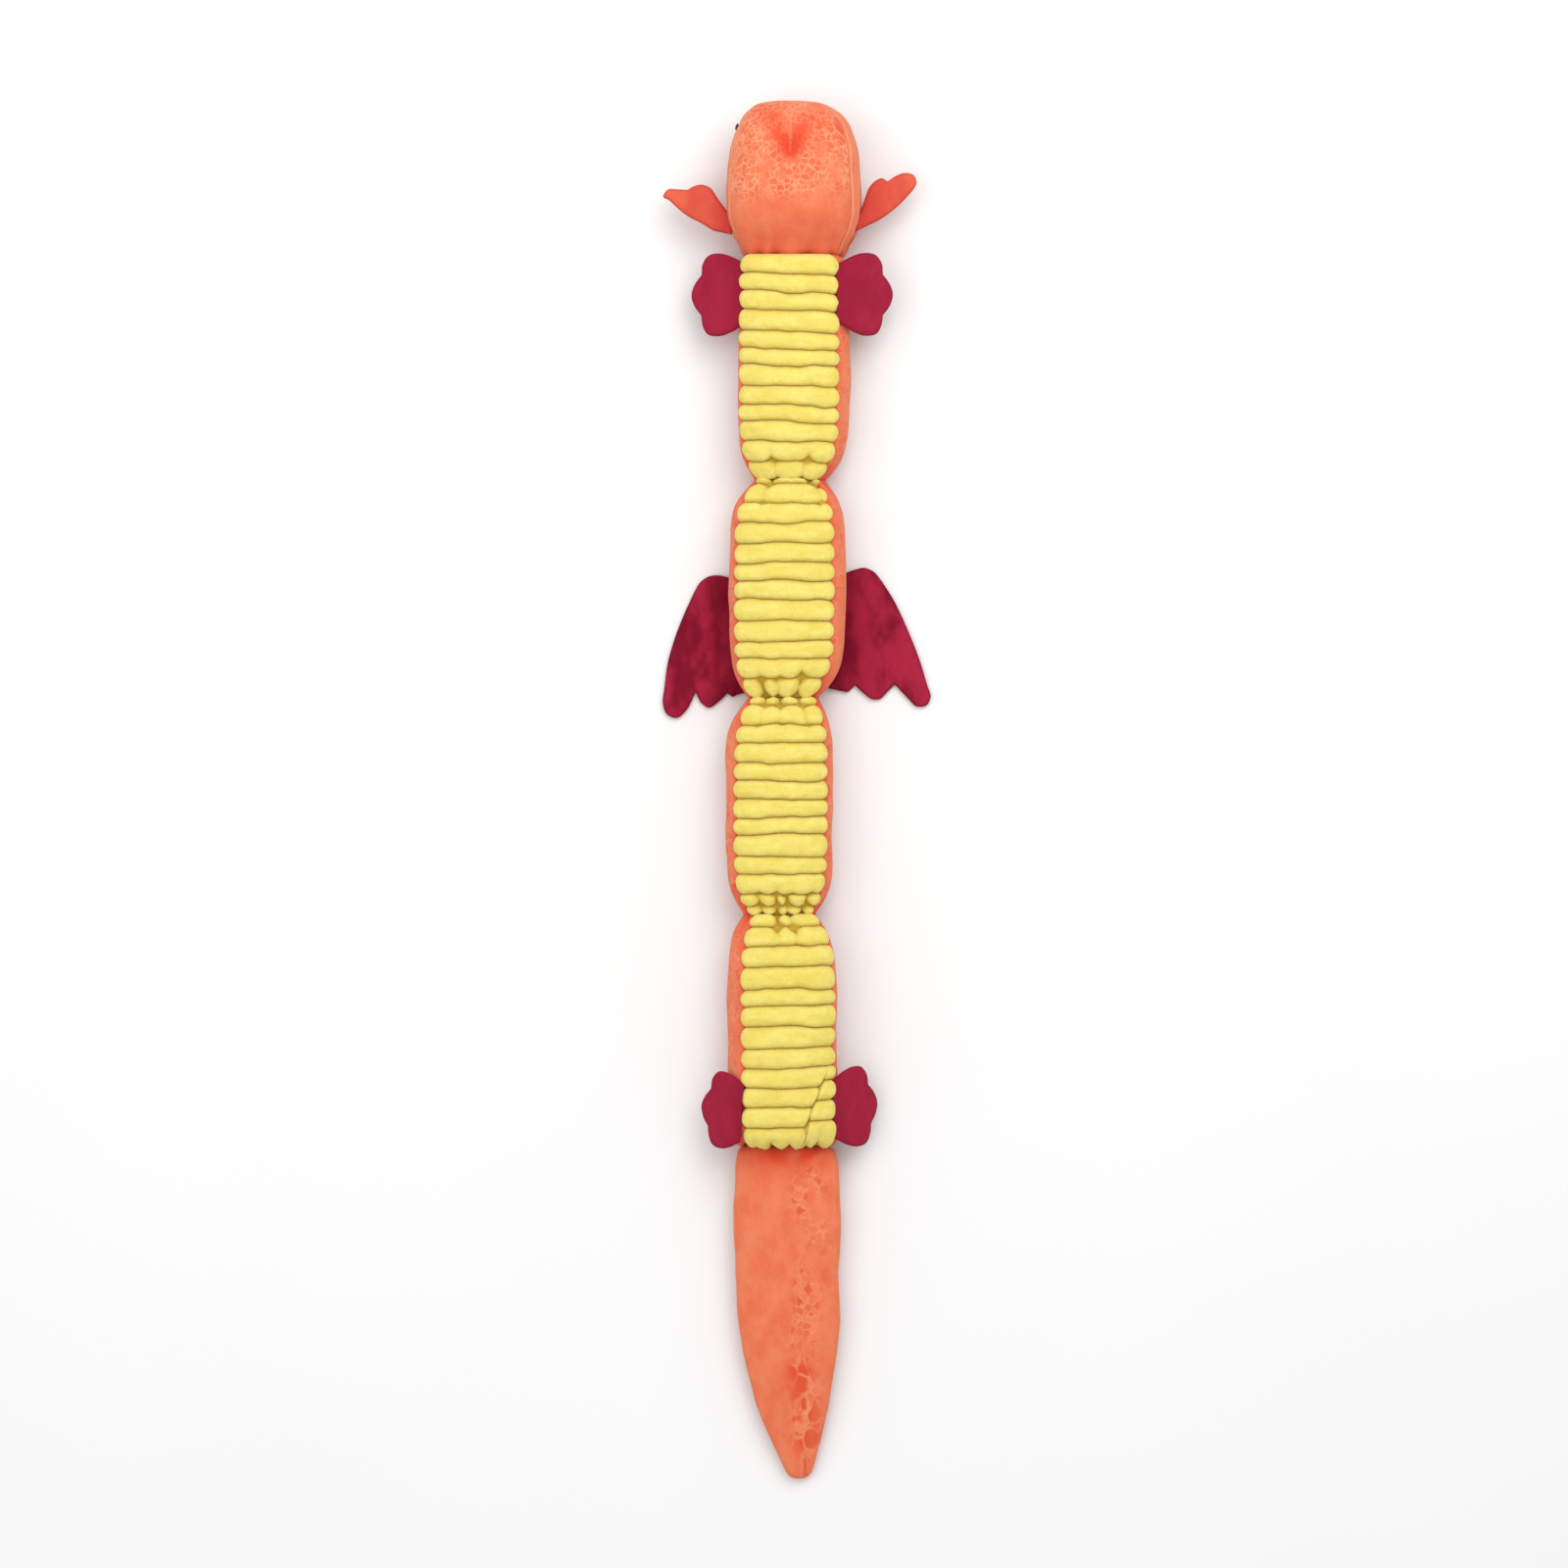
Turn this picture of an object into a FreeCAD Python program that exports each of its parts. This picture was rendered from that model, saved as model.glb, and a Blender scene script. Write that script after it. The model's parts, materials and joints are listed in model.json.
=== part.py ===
"""A long stuffed dragon toy of four sewn segments, with a head, ears, wings, paws and a tail.

Millimetres, +Z up. The toy lies on its back on the ground, belly up, with its head towards +Y.
Every body of the chain is a tube of sewn panels around filling, and the tubes are joined by gathered waists.
"""

import os

import FreeCAD
import Part
from math import cos, exp, radians, sin

V = FreeCAD.Vector

# ---- driving dimensions ----
cloth = 2.5            # thickness of a plush panel with its pile
clearance = 0.5        # between a panel and the filling inside it
squareness = 2.5       # exponent of a cross section: 2 is an ellipse
belly_arc = 112.0      # degrees of a segment's girth that the belly panel takes
half_thick = 26.5      # half of a segment's thickness, before the flat where it rests
axis_height = 25.5     # of the middle of a segment over the ground
waist_gap = 10.0       # from the middle of a waist to the end of a segment
neck_gap = 8.0         # from the middle of the neck or of the tail seam to the panels
waist_half = (27.0, 17.0)   # half width and half thickness of a segment where it is gathered
open_half = (35.0, 23.0)    # the same at the neck and at the tail seam
squeaker_radius = 24.0
squeaker_thick = 21.0
squeaker_wall = 1.2
reed_radius = 5.0
flap_cloth = 1.8       # one layer of a paw or an ear
wing_cloth = 2.0       # one layer of a wing
front_paw_droop = 25.0  # degrees
hind_paw_droop = 40.0
hind_paw_size = 0.93   # against a front paw
ear_droop = 14.0
flap_off = 2.3         # from a seam in the panels to the middle of the flap sewn into it
wing_height = 3.4      # of the middle of a wing, which lies on the ground
wing_root = 37.2       # from the middle of the segment to the root of a wing

# the middle of every joint of the chain: (x, y, height)
NECK = (-1.6, 388.5, 27.0)
WAISTS = {
    "waist_1": (-4.4, 226.5, 25.5),
    "waist_2": (-9.8, 69.0, 25.5),
    "waist_3": (-12.2, -88.0, 25.5),
}
TAIL_SEAM = (-8.0, -256.0, 18.0)

# name: (front end, rear end, x of the middle, half width, turn of the belly in degrees)
SEGMENTS = {
    "segment_1": (NECK[1] - neck_gap, 226.5 + waist_gap, -1.4, 40.5, 9.0),
    "segment_2": (226.5 - waist_gap, 69.0 + waist_gap, -6.2, 41.5, 5.0),
    "segment_3": (69.0 - waist_gap, -88.0 + waist_gap, -13.0, 38.5, -3.0),
    "segment_4": (-88.0 - waist_gap, TAIL_SEAM[1] + neck_gap, -10.2, 39.0, -11.0),
}
# the joint at the front and at the rear end of each segment
ENDS = {
    "segment_1": (NECK, WAISTS["waist_1"]),
    "segment_2": (WAISTS["waist_1"], WAISTS["waist_2"]),
    "segment_3": (WAISTS["waist_2"], WAISTS["waist_3"]),
    "segment_4": (WAISTS["waist_3"], TAIL_SEAM),
}
swell = 4.6            # the length over which a segment swells from its end to its full girth
stations_from_end = (0.0, 3.0, 8.0, 18.0, 40.0)

# the head from neck to snout: (y, half width, half thickness, height of the middle)
HEAD = [
    (NECK[1] + neck_gap, 37.0, 25.0, 27.5),
    (403.0, 43.5, 30.0, 31.0),
    (413.0, 47.3, 34.5, 34.8),
    (430.0, 48.6, 37.0, 37.0),
    (450.0, 48.2, 37.5, 37.5),
    (468.0, 46.0, 36.0, 37.0),
    (481.0, 42.5, 32.5, 36.5),
    (490.5, 37.0, 27.0, 36.0),
    (497.0, 29.5, 20.0, 35.5),
    (500.0, 21.0, 12.5, 35.0),
]
# the tail from seam to tip: (y, half width, half thickness, x of the middle)
TAIL = [
    (TAIL_SEAM[1] - neck_gap, 37.6, 14.5, -7.2),
    (-290.0, 38.9, 15.0, -6.9),
    (-350.0, 38.4, 14.0, -5.9),
    (-384.0, 37.4, 13.2, -5.2),
    (-412.0, 34.0, 12.2, -4.4),
    (-437.0, 28.6, 10.8, -3.2),
    (-458.0, 22.6, 9.2, -1.6),
    (-478.0, 16.2, 7.5, 0.2),
    (-491.0, 11.2, 6.2, 1.2),
    (-500.0, 6.0, 4.6, 1.8),
]
HEAD_X = -1.8
lift = 0.3             # of the head and the tail over the ground, on their pile

# outlines as runs of points that meet in corners; each run is one smooth curve
PAW = [
    [(0.0, 23.5), (8.0, 27.5), (17.0, 30.0), (26.5, 28.8), (31.5, 22.5), (32.0, 15.0)],
    [(32.0, 15.0), (37.5, 8.0), (40.0, 0.5), (37.5, -7.5), (32.0, -14.5)],
    [(32.0, -14.5), (31.0, -21.5), (27.0, -28.0), (18.0, -30.0), (8.0, -27.5), (0.0, -23.5)],
    [(0.0, -23.5), (0.0, 23.5)],
]
EAR_LEFT = [
    [(0.0, 15.0), (4.5, 21.0), (10.0, 28.5), (16.5, 30.8), (24.0, 29.0), (27.0, 27.2)],
    [(27.0, 27.2), (35.0, 28.0), (41.5, 28.0), (45.2, 22.6), (41.0, 20.2)],
    [(41.0, 20.2), (28.0, 9.0), (15.5, 2.2), (7.5, -2.6), (0.0, -4.6)],
    [(0.0, -4.6), (0.0, 15.0)],
]
EAR_RIGHT = [
    [(0.0, 19.0), (3.5, 28.0), (8.5, 33.4), (13.5, 35.4), (17.5, 33.2)],
    [(17.5, 33.2), (24.0, 37.4), (31.0, 39.8), (37.5, 38.0), (39.4, 32.6), (36.5, 27.0)],
    [(36.5, 27.0), (26.5, 16.5), (13.0, 6.0), (0.0, -0.6)],
    [(0.0, -0.6), (0.0, 19.0)],
]
WING_RIGHT = [
    [(0.0, 158.5), (4.6, 160.5), (11.1, 162.8), (18.6, 164.0), (25.1, 161.0), (30.6, 154.5)],
    [(30.6, 154.5), (38.6, 142.0), (49.6, 119.0), (58.1, 97.5), (64.1, 78.0)],
    [(64.1, 78.0), (66.4, 70.0), (63.6, 64.0), (56.6, 62.8), (49.6, 69.0), (40.1, 79.0)],
    [(40.1, 79.0), (34.6, 73.4), (29.1, 68.2), (23.1, 68.4), (17.6, 72.4), (11.1, 78.4)],
    [(11.1, 78.4), (5.6, 73.6), (0.0, 74.5)],
    [(0.0, 74.5), (0.0, 158.5)],
]
WING_LEFT = [
    [(0.0, 155.0), (5.2, 156.8), (11.2, 158.4), (19.7, 158.0), (26.2, 154.0), (31.2, 146.0)],
    [(31.2, 146.0), (38.2, 130.5), (45.2, 112.5), (50.2, 95.0), (52.8, 76.0)],
    [(52.8, 76.0), (53.8, 65.0), (50.7, 57.0), (43.2, 54.6), (37.2, 59.5), (29.8, 73.6)],
    [(29.8, 73.6), (25.7, 65.4), (20.2, 62.0), (13.7, 66.0), (6.7, 72.6)],
    [(6.7, 72.6), (2.5, 70.0), (0.0, 71.5)],
    [(0.0, 71.5), (0.0, 155.0)],
]
WING_MIDDLE = (24.0, 110.0)
OUTLINES = {
    "paw_front_left": PAW, "paw_front_right": PAW, "paw_hind_left": PAW, "paw_hind_right": PAW,
    "ear_left": EAR_LEFT, "ear_right": EAR_RIGHT,
    "wing_left": WING_LEFT, "wing_right": WING_RIGHT,
}


def spline(points):
    """An edge through a few points."""
    curve = Part.BSplineCurve()
    curve.interpolate(points)
    return curve.toShape()


def signed_power(value, power):
    return abs(value) ** power * (1 if value >= 0 else -1)


def girth_point(x, y, z, a, b, angle, bumps=0, depth=0.0):
    """A point of a rounded cross section, at an angle from +X towards +Z."""
    t = radians(angle)
    grow = 1 + depth * cos(bumps * t)
    across = a * grow * signed_power(cos(t), 2 / squareness)
    up = b * grow * signed_power(sin(t), 2 / squareness)
    return V(x + across, y, z + up)


def girth_wire(x, y, z, a, b, bumps=0, depth=0.0):
    """A whole closed cross section, in two halves that meet at the sides."""
    count = 12 if bumps == 0 else 30
    halves = []
    for start in (0.0, 180.0):
        angles = [start + 180.0 * n / count for n in range(count + 1)]
        points = [girth_point(x, y, z, a, b, t, bumps, depth) for t in angles]
        halves.append(spline(points))
    return Part.Wire(halves)


def strip_wire(x, y, z, a, b, first, last, thick):
    """The cross section of a panel that covers part of the girth, from angle first to last."""
    count = max(6, int((last - first) / 12))
    angles = [first + (last - first) * n / count for n in range(count + 1)]
    outer = [girth_point(x, y, z, a, b, t) for t in angles]
    inner = [girth_point(x, y, z, a - thick, b - thick, t) for t in angles]
    return Part.Wire([
        spline(outer),
        Part.makeLine(outer[-1], inner[-1]),
        spline(inner[::-1]),
        Part.makeLine(inner[0], outer[0]),
    ])


def panel(stations, first, last, thick=cloth):
    """A sewn panel along the stations (x, y, z, half width, half thickness)."""
    return Part.makeLoft([strip_wire(*s, first, last, thick) for s in stations], True, False)


def stuffing(stations, inset):
    """The solid that fills the tube of panels."""
    wires = [girth_wire(x, y, z, a - inset, b - inset) for x, y, z, a, b in stations]
    return Part.makeLoft(wires, True, False)


def above_ground(shape):
    """The shape with what lies under the ground cut off, which leaves the flat where it rests."""
    return shape.cut(Part.makeBox(400, 1400, 50, V(-200, -700, -50)))


def end_half(name, rear):
    """Half width and half thickness of a segment's front or rear end."""
    open_end = "segment_4" if rear else "segment_1"
    return open_half if name == open_end else waist_half


def segment_stations(name):
    """Cross sections of a segment from its front end to its rear end."""
    front, rear, middle, half, _ = SEGMENTS[name]
    before, after = ENDS[name]
    length = front - rear
    places = list(stations_from_end) + [length - d for d in stations_from_end[::-1]]
    stations = []
    for d in places:
        near_front, near_rear = exp(-d / swell), exp(-(length - d) / swell)
        lean_front, lean_rear = exp(-d / 15), exp(-(length - d) / 15)
        x = middle + (before[0] - middle) * lean_front + (after[0] - middle) * lean_rear
        a = half - (half - end_half(name, False)[0]) * near_front
        a -= (half - end_half(name, True)[0]) * near_rear
        b = half_thick - (half_thick - end_half(name, False)[1]) * near_front
        b -= (half_thick - end_half(name, True)[1]) * near_rear
        stations.append((x, front - d, axis_height, a, b))
    return stations


def belly_angles(turn):
    first = 90 + turn - belly_arc / 2
    return first, first + belly_arc


def rounded_disc(radius, thick, edge, at):
    """A flat round bladder with a rounded rim."""
    disc = Part.makeCylinder(radius, thick, V(at[0], at[1], at[2] - thick / 2))
    rims = [e for e in disc.Edges if len(e.Vertexes) == 1]
    return disc.makeFillet(edge, rims)


def squeaker(at):
    """A hollow bladder and the reed in its upper wall."""
    wall = squeaker_wall
    outer = rounded_disc(squeaker_radius, squeaker_thick, 9.0, at)
    inner = rounded_disc(squeaker_radius - wall, squeaker_thick - 2 * wall, 7.8, at)
    top = at[2] + squeaker_thick / 2
    hole = Part.makeCylinder(reed_radius + 0.1, 6, V(at[0], at[1], top - 4))
    reed = Part.makeCylinder(reed_radius, 5, V(at[0], at[1], top - 4.6))
    rim = Part.makeCylinder(reed_radius + 1.6, 1.0, V(at[0], at[1], top + 0.1))
    slot = Part.makeBox(6.0, 0.8, 3.0, V(at[0] - 3.0, at[1] - 0.4, top - 1.2))
    return outer.cut(inner).cut(hole), reed.fuse(rim).cut(slot)


def add_segment(shapes, name):
    stations = segment_stations(name)
    turn = SEGMENTS[name][4]
    first, last = belly_angles(turn)
    shapes[name + "_belly_panel"] = panel(stations, first, last)
    shapes[name + "_back_panel"] = above_ground(panel(stations, last, first + 360))
    inside = stuffing(stations, cloth + clearance)
    at = (SEGMENTS[name][2], (SEGMENTS[name][0] + SEGMENTS[name][1]) / 2, axis_height)
    pocket = Part.makeCylinder(
        squeaker_radius + 0.4, squeaker_thick + 4.0, V(at[0], at[1], at[2] - squeaker_thick / 2 - 0.5)
    )
    shapes[name + "_filling"] = inside.cut(pocket)
    bladder, reed = squeaker(at)
    shapes[name + "_squeaker"] = bladder
    shapes[name + "_squeaker_reed"] = reed


def gathered_tube(joint, gap, front, rear, narrow):
    """The ruffled cloth between two tubes: front and rear are (x, z, a, b) of their ends."""
    y = joint[1]
    reach = gap - 0.4
    steps = [(1.0, 0.0), (0.5, 0.72), (0.0, 1.0), (-0.5, 0.72), (-1.0, 0.0)]
    outside, inside = [], []
    for side, pinch in steps:
        end = front if side >= 0 else rear
        x = joint[0] + (end[0] - joint[0]) * abs(side)
        z = joint[2] + (end[1] - joint[2]) * abs(side)
        a = end[2] + (narrow[0] - end[2]) * pinch
        b = end[3] + (narrow[1] - end[3]) * pinch
        ruffle = 0.045 * pinch
        outside.append(girth_wire(x, y + side * reach, z, a, b, 14, ruffle))
        inside.append(girth_wire(x, y + side * reach, z, a - 3.2, b - 3.2))
    return Part.makeLoft(outside, True, False).cut(Part.makeLoft(inside, True, False))


def band(joint, half_width, half_high, broad, thick):
    """A stitched band of elastic that holds the gathers together."""
    x, y, z = joint
    solids = []
    for wall in (0, thick):
        edge = Part.Ellipse(V(0, 0, 0), half_width - wall, half_high - wall).toShape()
        solids.append(Part.Face(Part.Wire(edge)).extrude(V(0, 0, broad)))
    ring = solids[0].cut(solids[1])
    ring.rotate(V(0, 0, 0), V(1, 0, 0), 90)
    ring.translate(V(x, y + broad / 2, z))
    return ring


def add_waists(shapes):
    for name, joint in WAISTS.items():
        end = (joint[0], axis_height, waist_half[0], waist_half[1])
        shapes[name + "_gathers"] = gathered_tube(joint, waist_gap, end, end, (23.5, 15.5))
        shapes[name + "_elastic"] = band(joint, 15.0, 10.5, 4.4, 1.4)
    front = (HEAD_X, HEAD[0][3], HEAD[0][1], HEAD[0][2])
    rear = (NECK[0], axis_height, *open_half)
    shapes["neck_gathers"] = gathered_tube(NECK, neck_gap, front, rear, (34.0, 23.0))
    shapes["neck_elastic"] = band(NECK, 26.0, 13.0, 3.6, 1.4)
    front = (TAIL_SEAM[0], axis_height, *open_half)
    rear = (TAIL[0][3], TAIL[0][2], TAIL[0][1], TAIL[0][2])
    shapes["tail_seam_gathers"] = gathered_tube(TAIL_SEAM, neck_gap, front, rear, (33.5, 13.0))
    shapes["tail_seam_tape"] = band(TAIL_SEAM, 26.0, 7.4, 3.6, 1.4)


def add_head(shapes):
    stations = [(HEAD_X, y, z + lift, a, b) for y, a, b, z in HEAD]
    chin = (24.0, 160.0)
    shapes["head_chin_panel"] = panel(stations, *chin)
    shapes["head_side_panel_right"] = panel(stations, -42.0, chin[0])
    shapes["head_side_panel_left"] = panel(stations, chin[1], 222.0)
    shapes["head_crown_panel"] = panel(stations, 222.0, 318.0)
    shapes["head_filling"] = stuffing(stations, cloth + clearance)
    tip = stations[-1]
    nose = girth_wire(tip[0], tip[1], tip[2], tip[3] - cloth - 0.3, tip[4] - cloth - 0.3)
    plug = Part.Face(nose).extrude(V(0, -2.0, 0))
    shapes["head_filling"] = shapes["head_filling"].cut(plug)
    shapes["head_snout_panel"] = plug
    for side, word in ((-1, "left"), (1, "right")):
        shapes["eye_" + word] = eye(side)


def eye(side):
    """A small round embroidered patch that lies against the side of the head."""
    y, a, z = 478.0, 43.4, 36.2
    patch = Part.makeCylinder(4.2, 1.2, V(0, 0, 0), V(side, 0, 0))
    rim = [e for e in patch.Edges if len(e.Vertexes) == 1 and abs(e.CenterOfMass.x) > 1]
    patch = patch.makeFillet(0.7, rim)
    patch.rotate(V(0, 0, 0), V(0, 0, 1), side * 13.5)
    patch.rotate(V(0, 0, 0), V(0, 1, 0), side * 6.0)
    patch.translate(V(HEAD_X + side * (a + 0.75), y, z - 4.0))
    return patch


def add_tail(shapes):
    stations = [(x, y, b + lift, a, b) for y, a, b, x in TAIL]
    shapes["tail_upper_panel"] = panel(stations, 0.0, 180.0)
    shapes["tail_lower_panel"] = panel(stations, 180.0, 360.0)
    shapes["tail_filling"] = stuffing(stations[:-1], cloth + clearance)


def seam_root(name, side):
    """A point just outside the seam between a segment's belly and back panels."""
    _, _, middle, a, turn = SEGMENTS[name]
    first, last = belly_angles(turn)
    angle = first if side > 0 else last
    seam = girth_point(middle, 0, axis_height, a, half_thick, angle)
    out_x = abs((seam.x - middle) / a) ** (squareness - 1) / a
    out_z = abs((seam.z - axis_height) / half_thick) ** (squareness - 1) / half_thick
    out = V(side * out_x, 0, out_z).normalize()
    return seam.x + flap_off * out.x, seam.z + flap_off * out.z


def flap_roots():
    """Where each flap is sewn in: (x, y, height) of its root, the way it points and its droop."""
    roots = {}
    for word, side in (("left", -1), ("right", 1)):
        x, z = seam_root("segment_1", side)
        roots["paw_front_" + word] = (x, 360.5, z, side, front_paw_droop)
        x, z = seam_root("segment_4", side)
        roots["paw_hind_" + word] = (x, -226.5 + side * 1.5, z, side, hind_paw_droop)
        x = HEAD_X + side * (HEAD[3][1] + flap_off)
        roots["ear_" + word] = (x, 409.5, 38.0, side, ear_droop)
        x = SEGMENTS["segment_2"][2] + side * wing_root
        roots["wing_" + word] = (x, 0.0, wing_height, side, 0.0)
    return roots


def flap_face(runs, side, size=1.0, about=(0.0, 0.0)):
    """The face of a flap in its own plane, or a smaller one of the same shape about a point."""
    edges = []
    for run in runs:
        moved = [(about[0] + (x - about[0]) * size, about[1] + (y - about[1]) * size) for x, y in run]
        points = [V(side * x, y, 0) for x, y in moved]
        edges.append(spline(points) if len(points) > 2 else Part.makeLine(*points))
    return Part.Face(Part.Wire(edges))


def slab(face, low, high):
    """The face made into a layer between two heights."""
    layer = face.extrude(V(0, 0, high - low))
    layer.translate(V(0, 0, low))
    return layer


def sewn_in(shape, root):
    """The flap turned about its root and moved to where it is sewn in."""
    x, y, z, side, droop = root
    shape.rotate(V(0, 0, 0), V(0, 1, 0), side * droop)
    shape.translate(V(x, y, z))
    return shape


def add_flap(shapes, name, root):
    """A paw or an ear: two layers of cloth sewn together."""
    size = hind_paw_size if name.startswith("paw_hind") else 1.0
    face = flap_face(OUTLINES[name], root[3], size)
    words = ("back", "front") if name.startswith("ear") else ("sole", "top")
    shapes[name + "_" + words[0]] = sewn_in(slab(face, -flap_cloth, 0.0), root)
    shapes[name + "_" + words[1]] = sewn_in(slab(face, 0.0, flap_cloth), root)


def add_wing(shapes, name, root):
    """Two layers of pile cloth with a padding between them, which the upper layer is shaped over."""
    runs, side = OUTLINES[name], root[3]
    face = flap_face(runs, side)
    base = 0.5 * wing_cloth
    hollow = slab(flap_face(runs, side, 0.82, WING_MIDDLE), -base, base)
    upper = slab(face, -base, 1.5 * wing_cloth).cut(hollow)
    shapes[name + "_lower"] = sewn_in(slab(face, -1.5 * wing_cloth, -base), root)
    shapes[name + "_padding"] = sewn_in(slab(flap_face(runs, side, 0.81, WING_MIDDLE), -base, base), root)
    shapes[name + "_upper"] = sewn_in(upper, root)


def add_flaps(shapes):
    for name, root in flap_roots().items():
        if name.startswith("wing"):
            add_wing(shapes, name, root)
        else:
            add_flap(shapes, name, root)


def build():
    """Every node's shape, centred on the origin and standing on the ground."""
    shapes = {}
    add_head(shapes)
    for name in SEGMENTS:
        add_segment(shapes, name)
    add_waists(shapes)
    add_tail(shapes)
    add_flaps(shapes)
    return shapes


def centring(shapes):
    """The move that puts the middle of the whole toy over the origin."""
    whole = FreeCAD.BoundBox()
    for shape in shapes.values():
        for point in shape.tessellate(0.1)[0]:
            whole.add(point)
    return V(-whole.Center.x, -whole.Center.y, -whole.ZMin)


def main():
    shapes = build()
    move = centring(shapes)
    os.makedirs("parts", exist_ok=True)
    for name, shape in shapes.items():
        shape.translate(move)
        shape.exportStep("parts/" + name + ".step")
    print(len(shapes), "nodes, moved by", move)


main()
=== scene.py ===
# %% [markdown]
# # A long stuffed dragon
# The toy is a tube of plush cloth about a metre long. It is stuffed in four segments, pinched between
# them by gathers, with a stuffed head in front and a flat stuffed tail behind. It lies on its back, so
# the ribbed belly faces up. Flat paws are sewn into the side seams, wings and ears into the back and head.
# Every piece is made in metres around the fixed frame, and the wadding, the eyes and the flaps ride on named
# bodies of the frame.

# %% Load the frame
import json
import math

import bpy
import numpy as np
from mathutils import Matrix, Vector
from mathutils.geometry import delaunay_2d_cdt


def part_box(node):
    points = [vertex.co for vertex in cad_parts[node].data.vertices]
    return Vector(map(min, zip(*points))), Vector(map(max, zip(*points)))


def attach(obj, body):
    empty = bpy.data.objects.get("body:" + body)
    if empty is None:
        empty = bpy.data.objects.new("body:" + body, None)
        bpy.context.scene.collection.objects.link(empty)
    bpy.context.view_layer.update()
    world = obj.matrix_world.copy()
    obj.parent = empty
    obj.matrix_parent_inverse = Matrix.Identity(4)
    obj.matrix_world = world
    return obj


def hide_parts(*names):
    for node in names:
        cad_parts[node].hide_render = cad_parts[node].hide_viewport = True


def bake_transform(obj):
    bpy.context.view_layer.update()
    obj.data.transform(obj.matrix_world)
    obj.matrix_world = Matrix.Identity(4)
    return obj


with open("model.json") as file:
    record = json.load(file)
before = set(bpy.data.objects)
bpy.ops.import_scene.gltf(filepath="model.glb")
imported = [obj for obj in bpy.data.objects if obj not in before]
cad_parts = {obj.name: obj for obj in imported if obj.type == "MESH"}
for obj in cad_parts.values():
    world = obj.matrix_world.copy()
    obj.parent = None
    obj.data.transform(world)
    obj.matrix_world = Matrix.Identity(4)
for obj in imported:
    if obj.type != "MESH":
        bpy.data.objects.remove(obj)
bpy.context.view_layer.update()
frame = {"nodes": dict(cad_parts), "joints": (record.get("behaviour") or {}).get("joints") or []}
MM = 0.001
joint_at = {j["name"]: Vector(j.get("pos_m", (0, 0, 0))) for j in frame["joints"]}

# %% [markdown]
# ## Shader arithmetic
# A finish is a graph of nodes. Written out link by link it is hard to read, so one small class wraps a
# socket and turns + - * / into Math nodes, and one method adds every other node. A finish then reads as
# the sums it does, and the numbers in it are sizes on the cloth in metres.

# %% A socket that does arithmetic
class Wire:
    """An output socket that can be used in Python expressions."""

    def __init__(self, finish, socket):
        self.finish, self.socket = finish, socket

    def math(self, operation, first, second):
        return self.finish.node("ShaderNodeMath", {"operation": operation}, {0: first, 1: second})

    def __add__(self, other):
        return self.math("ADD", self, other)

    def __mul__(self, other):
        return self.math("MULTIPLY", self, other)

    def __sub__(self, other):
        return self.math("SUBTRACT", self, other)

    def __rsub__(self, other):
        return self.math("SUBTRACT", other, self)

    __radd__, __rmul__ = __add__, __mul__


print("a wire can be added, subtracted and multiplied")

# %% [markdown]
# A finish is one material with its graph. Its methods are the few kinds of node that plush needs: soft
# noise for the lie of the pile, cells for a printed pattern, values kept on the mesh for creases, and
# bump for the fibres. All patterns read the place on the toy in metres, so they don't depend on any
# unwrapping and keep their true size on every piece.

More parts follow.
